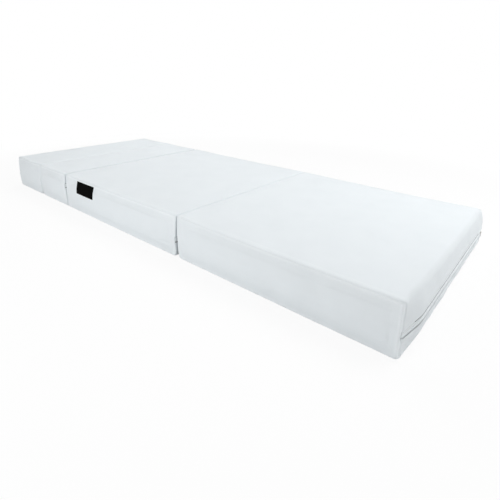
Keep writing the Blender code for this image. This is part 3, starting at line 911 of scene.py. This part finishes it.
def coil_form(block, way_up):
    """One side of the closed coil: a row of rounded teeth that reach over the middle."""
    count = int(2 * (ZIP_REACH - COIL_PITCH) / COIL_PITCH)
    offset = 0.25 * COIL_PITCH * way_up
    ways = (np.arange(count) - 0.5 * (count - 1)) * COIL_PITCH + offset
    places = np.array(COIL_SHARES) * (COIL_REACH, COIL_DEPTH)
    steps = unit_rows(np.gradient(places, axis=0))
    size = COIL_RADIUS * np.array(BAR_RING_SHARES)[:, None]
    slant = COIL_SLANT * np.linspace(-1, 1, len(places))[:, None]
    along = slant + size * np.cos(BAR_TURNS)
    ups = places[:, :1] - steps[:, 1:] * size * np.sin(BAR_TURNS)
    depths = places[:, 1:] + steps[:, :1] * size * np.sin(BAR_TURNS)
    points = zip_points(block, ways[:, None, None] + along, depths[None], way_up * ups[None])
    return points.reshape(-1, 3), bar_faces(count, len(places), BAR_SIDES)


def add_zip(block, materials):
    for tape in TAPES:
        name = f"{block.name}_zip_{tape.label}"
        form = tape_form(block, tape)
        band = add_piece(f"{name}_band", form, materials["tape"], block.name, (f"{name}_tape",))
        # Faces beyond the border take the grey material: painted shade in the trenches beside the coil
        band.data.materials.append(materials["border"])
        for face in band.data.polygons:
            face.material_index = int(abs(face.center.z - block.zip_height) > tape.border)
        coil = coil_form(block, tape.way_up)
        add_piece(f"{name}_coil", coil, materials["coil"], block.name)


# Zip sliders and pulls, in (along the zip, outwards, up) from the slider's middle
SLIDER_LENGTH = 0.012
SLIDER_HALF_WIDTH = 0.00425
SLIDER_WAIST = 0.0035
SLIDER_FOOT = -0.0008
SLIDER_INNER = 0.00305
SLIDER_UNDERSIDE = -0.0005
SLIDER_TOP = 0.0009
SLIDER_CROWN = 0.0003
SLIDER_CORNER = 0.0006
SLIDER_STATION_SHARES = (-0.5, -0.47, -0.4, -0.2, 0, 0.2, 0.4, 0.47, 0.5)
SLIDER_SIZE_SHARES = (0.88, 0.97, 1, 1, 1, 1, 1, 0.97, 0.88)
SLIDER_END_GAP = 0.002
BAIL_REACH = 0.0032
BAIL_RISE = 0.0020
BAIL_HALF = 0.0005
BAIL_HALF_WIDTH = 0.0007
BAIL_BEND = 0.0012
BAIL_SIDES = 10
PULL_LENGTH = 0.014
PULL_WIDTH = 0.0060
PULL_NECK = 0.0044
PULL_THICKNESS = 0.0010
PULL_EYE = 0.0013
PULL_SHOULDER = 0.005
PULL_BEVEL = 0.00022
GRIP_PLACE = 0.0075
GRIP_PITCH = 0.0016
GRIP_COUNT = 3
GRIP_SHARES = (-1, -0.6, 0, 0.6, 1)
GRIP_RADIUS = 0.00035
GRIP_HALF = 0.0023
ARC_SHARES = (0, 0.25, 0.5, 0.75, 1)
PULL_ARC_STEPS = 10


def slider_place(block):
    y = FLAT_HALF_WIDTH - SLIDER_END_GAP - 0.5 * SLIDER_LENGTH
    x = wall_x(block, block.zip_side, block.zip_height, 0)
    return soften(block, x, y, block.zip_height)


def placed(block, origin, local):
    """World places of points given as (along, outwards, up) from an origin on the zip wall."""
    local = np.asarray(local, float)
    turned = np.stack((block.zip_side * local[..., 1], local[..., 0], local[..., 2]), axis=-1)
    return np.asarray(origin) + turned


def swept(block, origin, rings):
    """(points, faces) of a closed sweep through rings of local points."""
    return placed(block, origin, rings).reshape(-1, 3), bar_faces(1, len(rings), len(rings[0]))


def quarter_turn(shares):
    """(cosine, sine) at shares of a quarter turn."""
    angles = [0.5 * math.pi * share for share in shares]
    return [(math.cos(angle), math.sin(angle)) for angle in angles]


def slider_section(half_width, top):
    """Channel that runs over the teeth: rounded outer shoulders, and a flange on each side."""
    half = [(SLIDER_FOOT, SLIDER_INNER), (SLIDER_FOOT, half_width)]
    for cosine, sine in quarter_turn(ARC_SHARES):
        half.append((top - SLIDER_CORNER * (1 - sine), half_width - SLIDER_CORNER * (1 - cosine)))
    crest = [(top + SLIDER_CROWN, 0.0)]
    mirrored = [(out, -up) for out, up in half[::-1]]
    return half + crest + mirrored + [(SLIDER_UNDERSIDE, -SLIDER_INNER), (SLIDER_UNDERSIDE, SLIDER_INNER)]


def slider_form(block, origin):
    rings = []
    for place, size in zip(SLIDER_STATION_SHARES, SLIDER_SIZE_SHARES):
        widening = smooth_step(place + 0.5)
        half_width = SLIDER_WAIST + (SLIDER_HALF_WIDTH - SLIDER_WAIST) * widening
        top = SLIDER_TOP - SLIDER_CORNER * (1 - size)
        section = slider_section(max(half_width * size, SLIDER_INNER + FIT_GAP), top)
        rings.append([(place * SLIDER_LENGTH, out, up) for out, up in section])
    return swept(block, origin, rings)


def bail_form(block, origin):
    """Arch over the slider, which the pull hangs on, as a swept bar with rounded bends."""
    top = SLIDER_TOP + BAIL_RISE + BAIL_HALF
    path = [(-BAIL_REACH, SLIDER_TOP - BAIL_HALF)]
    for side, shares in ((-1, ARC_SHARES), (1, ARC_SHARES[::-1])):
        for cosine, sine in quarter_turn(shares):
            along = side * (BAIL_REACH - BAIL_BEND * (1 - cosine))
            path.append((along, top - BAIL_BEND * (1 - sine)))
    path.append((BAIL_REACH, SLIDER_TOP - BAIL_HALF))
    steps = unit_rows(np.gradient(path, axis=0))
    angles = [2 * math.pi * number / BAIL_SIDES for number in range(BAIL_SIDES)]
    section = [(BAIL_HALF * math.sin(angle), BAIL_HALF_WIDTH * math.cos(angle)) for angle in angles]
    rings = []
    for (along, out), (step_along, step_out) in zip(path, steps):
        ring = [(along - step_out * thick, out + step_along * thick, wide) for thick, wide in section]
        rings.append(ring)
    return swept(block, origin, rings)


def pull_outline():
    """Half outline of the pull from the eye's top to its end, as (across, down)."""
    neck = 0.5 * PULL_NECK
    tab = 0.5 * PULL_WIDTH
    turn = quarter_turn(step / PULL_ARC_STEPS for step in range(PULL_ARC_STEPS + 1))
    points = [(neck * sine, -neck * cosine) for cosine, sine in turn]
    for share in ARC_SHARES[1:]:
        eased = float(smooth_step(share))
        points.append((neck + (tab - neck) * eased, PULL_SHOULDER * share))
    return points + [(tab * cosine, PULL_LENGTH - tab + tab * sine) for cosine, sine in turn]


def pull_form(block, leg):
    """Flat tab with a round eye about the bail's leg, rounded rims and three grip ribs."""
    half = pull_outline()
    rim = np.array(half + [(-across, down) for across, down in half[-2:0:-1]])
    steps = unit_rows(np.roll(rim, -1, axis=0) - np.roll(rim, 1, axis=0))
    inside = rim + PULL_BEVEL * np.stack((-steps[:, 1], steps[:, 0]), axis=1)
    eye = rim * PULL_EYE / np.linalg.norm(rim, axis=1, keepdims=True)
    wide_eye = eye * (1 + PULL_BEVEL / PULL_EYE)
    low = SLIDER_TOP + 0.5 * (BAIL_RISE - PULL_THICKNESS)
    high = low + PULL_THICKNESS
    loops = (
        (wide_eye, low), (inside, low), (rim, low + PULL_BEVEL), (rim, high - PULL_BEVEL),
        (inside, high), (wide_eye, high), (eye, high - PULL_BEVEL), (eye, low + PULL_BEVEL),
    )
    rings = [[(across, out, -down) for across, down in loop] for loop, out in loops]
    points = placed(block, leg, rings).reshape(-1, 3)
    numbers = np.arange(len(points)).reshape(len(loops), len(rim))
    faces = grid_quads(np.pad(numbers, (0, 1), "wrap")).tolist()
    downs = GRIP_PLACE + GRIP_PITCH * np.arange(GRIP_COUNT)
    paths = [[(share * GRIP_HALF, high, -down) for share in GRIP_SHARES] for down in downs]
    directions = [np.tile(way, (GRIP_COUNT, 1)) for way in ((0, 0, 1.0), (1.0, 0, 0))]
    ribs = bars(placed(block, leg, paths), *directions, GRIP_RADIUS)
    return joined(((points, faces), ribs))


def add_slider(block, materials):
    origin = slider_place(block)
    name = f"{block.name}_zip_slider"
    body = joined((slider_form(block, origin), bail_form(block, origin)))
    add_piece(f"{name}_body", body, materials["metal"], name, (name,))
    leg = origin - np.array((0, BAIL_REACH, 0))
    pull = f"{block.name}_zip_pull"
    add_piece(f"{pull}_tab", pull_form(block, leg), materials["metal"], pull, (pull,))


# Hinge seams: cloth that closes the groove of a fold, round the fold's axis
HINGE_HALF_GAP = 0.0011
HINGE_THICKNESS = 0.0007
HINGE_CREST = 0.0075
HINGE_LEG = 0.0170
HINGE_ARC_STEPS = 16
HINGE_LEG_STEPS = 4
HINGE_STATIONS = 60
HINGE_WAVE = 0.0003


def hinge_section(thickness):
    """Points of the ribbon's section, as (across the fold, away from the axis)."""
    reach = HINGE_HALF_GAP - thickness
    crest = HINGE_CREST + thickness
    points = []
    for step in range(HINGE_LEG_STEPS):
        points.append((reach, HINGE_LEG + (crest + reach - HINGE_LEG) * step / HINGE_LEG_STEPS))
    for step in range(HINGE_ARC_STEPS + 1):
        angle = math.pi * step / HINGE_ARC_STEPS
        points.append((reach * math.cos(angle), crest + reach - reach * math.sin(angle)))
    return points + [(-across, away) for across, away in points[HINGE_LEG_STEPS - 1 :: -1]]


def add_hinge(right, left, material, seed):
    """Ribbon of one fold: two legs and a half round crest about the fold's axis."""
    name = f"{right}_{left}_hinge"
    line, _, axis = JOINTS[f"{left}_fold"]["pos_m"]
    way = -1 if axis > 0 else 1
    section = hinge_section(0) + hinge_section(HINGE_THICKNESS)[::-1]
    stations = np.linspace(-FLAT_HALF_WIDTH, FLAT_HALF_WIDTH, HINGE_STATIONS + 1)
    points = np.array([(line + across, y, axis + way * away) for y in stations for across, away in section])
    points[:, 2] += HINGE_WAVE * noise(points, (WIDTH, GATHER_CELL, WIDTH), seed)
    faces = bar_faces(1, len(stations), len(section))
    thing = add_piece(name, (points, faces), material, None, (f"{name}_seam",))
    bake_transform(thing)


# Label
LABEL_LENGTH = 0.114
LABEL_HEIGHT = 0.0455
LABEL_FROM_FOLD = 0.0942
LABEL_UNDER_SEAM = 0.0052
LABEL_THICKNESS = 0.0008
LABEL_COLUMNS = 48
LABEL_ROWS = 20
LABEL_HEM = 0.0022
LABEL_HEM_RISE = 0.00015


def add_label(block, surface, materials):
    """Bare black label, laid on the near side panel, with a raised rim."""
    left = block.left + LABEL_FROM_FOLD
    top = HEIGHT - EDGE_ROLL - LABEL_UNDER_SEAM
    fronts = []
    backs = []
    for row in range(LABEL_ROWS + 1):
        for column in range(LABEL_COLUMNS + 1):
            x = left + LABEL_LENGTH * column / LABEL_COLUMNS
            z = top - LABEL_HEIGHT * row / LABEL_ROWS
            spot, normal, _, _ = surface.ray_cast((x, -WIDTH, z), (0, 1, 0))
            spot = np.array(spot)
            normal = np.array(normal) * math.copysign(1, -normal[1])
            edge = min(x - left, left + LABEL_LENGTH - x, top - z, z - top + LABEL_HEIGHT)
            rise = LABEL_THICKNESS + LABEL_HEM_RISE * float(bump(edge, LABEL_HEM))
            fronts.append(spot + normal * rise)
            backs.append(spot - normal * FIT_GAP)
    numbers = np.arange(len(fronts)).reshape(LABEL_ROWS + 1, LABEL_COLUMNS + 1)
    faces = []
    for grid, flip in ((numbers, True), (numbers + len(fronts), False)):
        quads = grid_quads(grid)
        faces += (quads[:, ::-1] if flip else quads).tolist()
    border = np.concatenate((numbers[0, :-1], numbers[:-1, -1], numbers[-1, :0:-1], numbers[:0:-1, 0]))
    for here, following in zip(border, np.roll(border, -1)):
        faces.append([int(here), int(following), int(following) + len(fronts), int(here) + len(fronts)])
    shape = (fronts + backs, faces)
    add_piece("seat_label_patch", shape, materials["label"], block.name, ("seat_label",))


# Materials
CLOTH_LIGHT = (0.850, 0.892, 0.915)
CLOTH_DARK = (0.755, 0.802, 0.828)
TAPE_LIGHT = (0.90, 0.935, 0.955)
TAPE_DARK = (0.84, 0.88, 0.90)
# Grey of the tapes' borders: painted shade in the zip's trenches
TRENCH_SHADE_LIGHT = (0.36, 0.38, 0.39)
TRENCH_SHADE_DARK = (0.27, 0.29, 0.30)
THREAD_LIGHT = (0.88, 0.905, 0.92)
THREAD_DARK = (0.80, 0.83, 0.85)
LABEL_LIGHT = (0.0050, 0.0048, 0.0045)
LABEL_DARK = (0.0025, 0.0024, 0.0023)
COIL_COLOUR = (0.87, 0.905, 0.925)
METAL_LIGHT = (0.80, 0.79, 0.77)
METAL_DARK = (0.66, 0.65, 0.63)

# A woven cloth: yarn pitch, relief of the weave, and its looks
Cloth = namedtuple("Cloth", "light dark pitch relief rough sheen gloss")
COVER_CLOTH = Cloth(CLOTH_LIGHT, CLOTH_DARK, 0.0009, 0.00016, 0.88, 0.15, 0.2)
TAPE_CLOTH = Cloth(TAPE_LIGHT, TAPE_DARK, 0.0006, 0.00010, 0.75, 0.05, 0.3)
TRENCH_SHADE_CLOTH = Cloth(TRENCH_SHADE_LIGHT, TRENCH_SHADE_DARK, 0.0006, 0.00010, 0.85, 0.05, 0.2)
THREAD_CLOTH = Cloth(THREAD_LIGHT, THREAD_DARK, 0.0004, 0.00005, 0.65, 0.1, 0.35)
LABEL_CLOTH = Cloth(LABEL_LIGHT, LABEL_DARK, 0.0005, 0.00008, 0.85, 0.0, 0.01)

SLUB_LENGTH = 0.045
SLUB_WIDTH = 0.0022
MOTTLE_SIZE = 0.085
MOTTLE_DETAIL = 4.0
NOISE_DETAIL = 2.0
ROUGH_SPREAD = 0.07
WEAVE_RELIEF_SHARE = 0.6
YARN_UNDER_SHARE = 0.5
# Share of the cloth's tone range by which the painted seam highlight lightens the cover
SEAM_HIGHLIGHT_TONE = 0.65


def fill(tree, node, inputs):
    """Sets or links a node's inputs, given as (name or number, value or socket) pairs."""
    for name, value in inputs:
        if isinstance(value, bpy.types.NodeSocket):
            tree.links.new(value, node.inputs[name])
        else:
            node.inputs[name].default_value = value


def add_node(tree, kind, inputs=(), **settings):
    made = tree.nodes.new(kind)
    for name, value in settings.items():
        setattr(made, name, value)
    fill(tree, made, inputs)
    return made


def maths(tree, operation, first, second=0.0):
    return add_node(tree, "ShaderNodeMath", ((0, first), (1, second)), operation=operation).outputs[0]


def weighted(tree, *pairs):
    """Sum of sockets, each times its weight."""
    first, *others = [maths(tree, "MULTIPLY", value, weight) for value, weight in pairs]
    for other in others:
        first = maths(tree, "ADD", first, other)
    return first


def ranged(tree, value, low, high):
    """Value from 0 to 1 brought to a range."""
    return add_node(tree, "ShaderNodeMapRange", ((0, value), (3, low), (4, high))).outputs[0]


def new_material(name, colour, roughness, sheen=0.0, metallic=0.0, gloss=0.5):
    material = bpy.data.materials.new(name)
    material.use_nodes = True
    tree = material.node_tree
    shader = tree.nodes["Principled BSDF"]
    looks = (("Base Color", (*colour, 1)), ("Roughness", roughness), ("Sheen Weight", sheen))
    fill(tree, shader, (*looks, ("Metallic", metallic), ("Specular IOR Level", gloss)))
    return material, tree, shader


def own_places(tree):
    return add_node(tree, "ShaderNodeTexCoord").outputs["Object"]


def noise_at(tree, place, scale, detail):
    inputs = (("Vector", place), ("Scale", scale), ("Detail", detail))
    return add_node(tree, "ShaderNodeTexNoise", inputs).outputs["Fac"]


def stretched_noise(tree, u, v, length, width, detail=NOISE_DETAIL):
    """Noise drawn out along v, from 0 to 1."""
    across = maths(tree, "DIVIDE", u, width)
    along = maths(tree, "DIVIDE", v, length)
    place = add_node(tree, "ShaderNodeCombineXYZ", ((0, across), (1, along)))
    return noise_at(tree, place.outputs[0], 1.0, detail)


def bump_of(tree, height, distance, strength=1.0):
    inputs = (("Strength", strength), ("Distance", distance), ("Height", height))
    return add_node(tree, "ShaderNodeBump", inputs).outputs[0]


def colour_between(tree, share, dark, light, clamped=True):
    inputs = ((0, share), (6, (*dark, 1)), (7, (*light, 1)))
    return add_node(tree, "ShaderNodeMix", inputs, data_type="RGBA", clamp_factor=clamped).outputs[2]


def plain_weave(tree, u, v, pitch):
    """Height of a plain weave from 0 to 1: yarns along u and v that pass over each other in turn."""
    waves = [maths(tree, "SINE", maths(tree, "MULTIPLY", way, math.pi / pitch)) for way in (u, v)]
    yarns = [maths(tree, "ABSOLUTE", wave) for wave in waves]
    over = ranged(tree, maths(tree, "MULTIPLY", *waves), YARN_UNDER_SHARE, 1.0)
    under = maths(tree, "SUBTRACT", 1.0, over)
    crossing = (maths(tree, "MULTIPLY", yarns[0], over), maths(tree, "MULTIPLY", yarns[1], under))
    return maths(tree, "ADD", *crossing)


def cloth_material(name, cloth, axes=None):
    """Woven cloth with slubs and soft mottling.

    It lies along the weave coordinates of the mesh or, if axes are given, along two of the piece's own.
    """
    material, tree, shader = new_material(name, cloth.light, cloth.rough, cloth.sheen, gloss=cloth.gloss)
    if axes is None:
        source = add_node(tree, "ShaderNodeUVMap", uv_map="weave").outputs[0]
    else:
        source = own_places(tree)
    parts = add_node(tree, "ShaderNodeSeparateXYZ", ((0, source),)).outputs
    u, v = (parts[axis] for axis in (axes or (0, 1)))
    weave = plain_weave(tree, u, v, cloth.pitch)
    ways = ((u, v), (v, u))
    slubs = maths(tree, "MAXIMUM", *(stretched_noise(tree, *way, SLUB_LENGTH, SLUB_WIDTH) for way in ways))
    mottle = stretched_noise(tree, u, v, MOTTLE_SIZE, MOTTLE_SIZE, MOTTLE_DETAIL)
    height = weighted(tree, (weave, WEAVE_RELIEF_SHARE), (slubs, 1 - WEAVE_RELIEF_SHARE))
    tones = [(height, 0.5), (mottle, 0.5)]
    # Painted highlight along the cover's seams, read from its mesh attribute
    if axes is None:
        layers = add_node(tree, "ShaderNodeAttribute", attribute_name="layers").outputs["Fac"]
        tones.append((layers, SEAM_HIGHLIGHT_TONE))
    inputs = (
        ("Normal", bump_of(tree, height, cloth.relief)),
        ("Base Color", colour_between(tree, weighted(tree, *tones), cloth.dark, cloth.light, False)),
        ("Roughness", ranged(tree, slubs, cloth.rough - ROUGH_SPREAD, cloth.rough + ROUGH_SPREAD)),
    )
    fill(tree, shader, inputs)
    return material


METAL_ROUGH = (0.32, 0.50)
METAL_GRAIN = 0.0012
METAL_RELIEF = 0.00003
METAL_BUMP = 0.5
COIL_ROUGH = (0.3, 0.5)


def metal_material():
    """Plated zip metal, with a fine grain and slight tarnish."""
    material, tree, shader = new_material("zip_metal", METAL_LIGHT, METAL_ROUGH[0], metallic=1.0)
    grain = noise_at(tree, own_places(tree), 1 / METAL_GRAIN, MOTTLE_DETAIL)
    inputs = (
        ("Roughness", ranged(tree, grain, *METAL_ROUGH)),
        ("Base Color", colour_between(tree, grain, METAL_DARK, METAL_LIGHT)),
        ("Normal", bump_of(tree, grain, METAL_RELIEF, METAL_BUMP)),
    )
    fill(tree, shader, inputs)
    return material


def coil_material():
    """Nylon of the zip's coil, slightly shiny, with a faint mottle."""
    material, tree, shader = new_material("zip_nylon", COIL_COLOUR, COIL_ROUGH[0])
    mottle = noise_at(tree, own_places(tree), 1 / COIL_PITCH, NOISE_DETAIL)
    fill(tree, shader, (("Roughness", ranged(tree, mottle, *COIL_ROUGH)),))
    return material


# Stage


def add_camera():
    camera = add_object("camera", bpy.data.cameras.new("camera"))
    camera.data.lens = CAMERA_LENS
    camera.data.sensor_width = CAMERA_SENSOR
    camera.data.shift_y = CAMERA_SHIFT
    level = math.cos(CAMERA_PITCH)
    forward = Vector((math.sin(CAMERA_YAW) * level, math.cos(CAMERA_YAW) * level, -math.sin(CAMERA_PITCH)))
    right = Vector((math.cos(CAMERA_YAW), -math.sin(CAMERA_YAW), 0))
    up = right.cross(forward)
    turned_right = math.cos(CAMERA_ROLL) * right + math.sin(CAMERA_ROLL) * up
    turned_up = math.cos(CAMERA_ROLL) * up - math.sin(CAMERA_ROLL) * right
    frame_of_view = Matrix((turned_right, turned_up, -forward)).transposed().to_4x4()
    frame_of_view.translation = CAMERA_PLACE
    camera.matrix_world = frame_of_view
    bpy.context.scene.camera = camera


def add_area(name, place, size, power):
    """Square softbox that faces the middle of the object."""
    lamp = bpy.data.lights.new(name, "AREA")
    lamp.shape = "SQUARE"
    lamp.size = size
    lamp.energy = power
    thing = add_object(name, lamp)
    thing.location = place
    thing.rotation_euler = (-Vector(place)).to_track_quat("-Z", "Y").to_euler()


# Softboxes as (name, place, size, power), fitted to the brightness of each face in the photograph
LIGHTS = (
    ("top_softbox", (0.0, 0.0, 2.6), 3.0, 16.5),
    ("right_softbox", (3.2, 0.0, 1.2), 2.0, 13.2),
    ("back_left_softbox", (-2.2, 2.2, 1.6), 2.0, 7.6),
    ("near_right_softbox", (1.3, 0.7, 1.6), 1.2, 19.3),
    ("front_softbox", (-0.3, -2.6, 0.5), 1.2, 20.6),
    ("front_fill", (0.25, -1.6, 0.6), 0.8, 2.7),
    ("far_softbox", (-1.2, 0.6, 1.6), 1.0, 11.2),
)
AMBIENT = 0.20
WHITE = (1, 1, 1, 1)
FLOOR_HALF = 6.0
FLOOR_COLOUR = (0.94, 0.94, 0.94)
FLOOR_ROUGH = 0.9
SHADOW_SHARE = 0.10
SHADOW_REACH = 1.15
SHADOW_FADE = 0.7


def background_ray(tree):
    """Node socket that is 1 for the rays that see the background: camera, glossy and transmission."""
    rays = add_node(tree, "ShaderNodeLightPath").outputs
    seen = rays["Is Camera Ray"]
    for name in ("Is Glossy Ray", "Is Transmission Ray"):
        seen = maths(tree, "MAXIMUM", seen, rays[name])
    return seen


def mix_into(tree, share, lit, shown, output):
    """Mixes two shaders by a share into an output's surface."""
    mix = add_node(tree, "ShaderNodeMixShader", ((0, share), (1, lit.outputs[0]), (2, shown.outputs[0])))
    fill(tree, tree.nodes[output], (("Surface", mix.outputs[0]),))


def add_world():
    world = bpy.data.worlds.new("studio")
    bpy.context.scene.world = world
    world.use_nodes = True
    tree = world.node_tree
    light = tree.nodes["Background"]
    fill(tree, light, (("Color", WHITE), ("Strength", AMBIENT)))
    backdrop = add_node(tree, "ShaderNodeBackground", (("Color", WHITE),))
    mix_into(tree, background_ray(tree), light, backdrop, "World Output")


def add_floor():
    """White floor: lit white where the camera sees it, with a share of its real shading that fades out."""
    corners = [(FLOOR_HALF * x, FLOOR_HALF * y, 0) for x, y in ((-1, -1), (1, -1), (1, 1), (-1, 1))]
    mesh = bpy.data.meshes.new("floor")
    mesh.from_pydata(corners, [], [(0, 1, 2, 3)])
    floor = add_object("floor", mesh)
    material, tree, shader = new_material("floor_white", FLOOR_COLOUR, FLOOR_ROUGH, gloss=0)
    away = add_node(tree, "ShaderNodeVectorMath", ((0, own_places(tree)),), operation="LENGTH")
    inputs = (
        ("Value", away.outputs["Value"]),
        ("From Min", SHADOW_REACH),
        ("From Max", SHADOW_REACH + SHADOW_FADE),
        ("To Min", 1 - SHADOW_SHARE),
    )
    fade = add_node(tree, "ShaderNodeMapRange", inputs, interpolation_type="SMOOTHSTEP").outputs[0]
    share = maths(tree, "MULTIPLY", fade, background_ray(tree))
    mix_into(tree, share, shader, add_node(tree, "ShaderNodeEmission"), "Material Output")
    mesh.materials.append(material)


def add_stage():
    bpy.context.scene.view_settings.view_transform = "Standard"
    add_world()
    add_floor()
    for light in LIGHTS:
        add_area(*light)


def main():
    cloth = cloth_material("white_cloth", COVER_CLOTH)
    ribbon = cloth_material("white_cloth_ribbon", COVER_CLOTH, (0, 1))
    materials = {
        "tape": cloth_material("white_tape", TAPE_CLOTH, (1, 2)),
        # Grey painted shade on the tapes' sunken borders
        "border": cloth_material("grey_tape_border", TRENCH_SHADE_CLOTH, (1, 2)),
        "coil": coil_material(),
        "metal": metal_material(),
        "hem": cloth_material("white_cloth_hem", COVER_CLOTH, (1, 2)),
        "label": cloth_material("black_label", LABEL_CLOTH, (0, 2)),
        "thread": cloth_material("white_thread", THREAD_CLOTH, (1, 2)),
    }
    for seed, block in enumerate(BLOCKS):
        surface = add_cover(block, seed, cloth)
        hem_surface = add_hem(block, materials["hem"])
        add_stitching(block, surface, hem_surface, materials["thread"])
        add_zip(block, materials)
        add_slider(block, materials)
        if block.name == "seat":
            add_label(block, surface, materials)
    for seed, (right, left) in enumerate(zip(BLOCKS, BLOCKS[1:]), 1):
        add_hinge(right.name, left.name, ribbon, seed)
    add_camera()
    add_stage()


main()
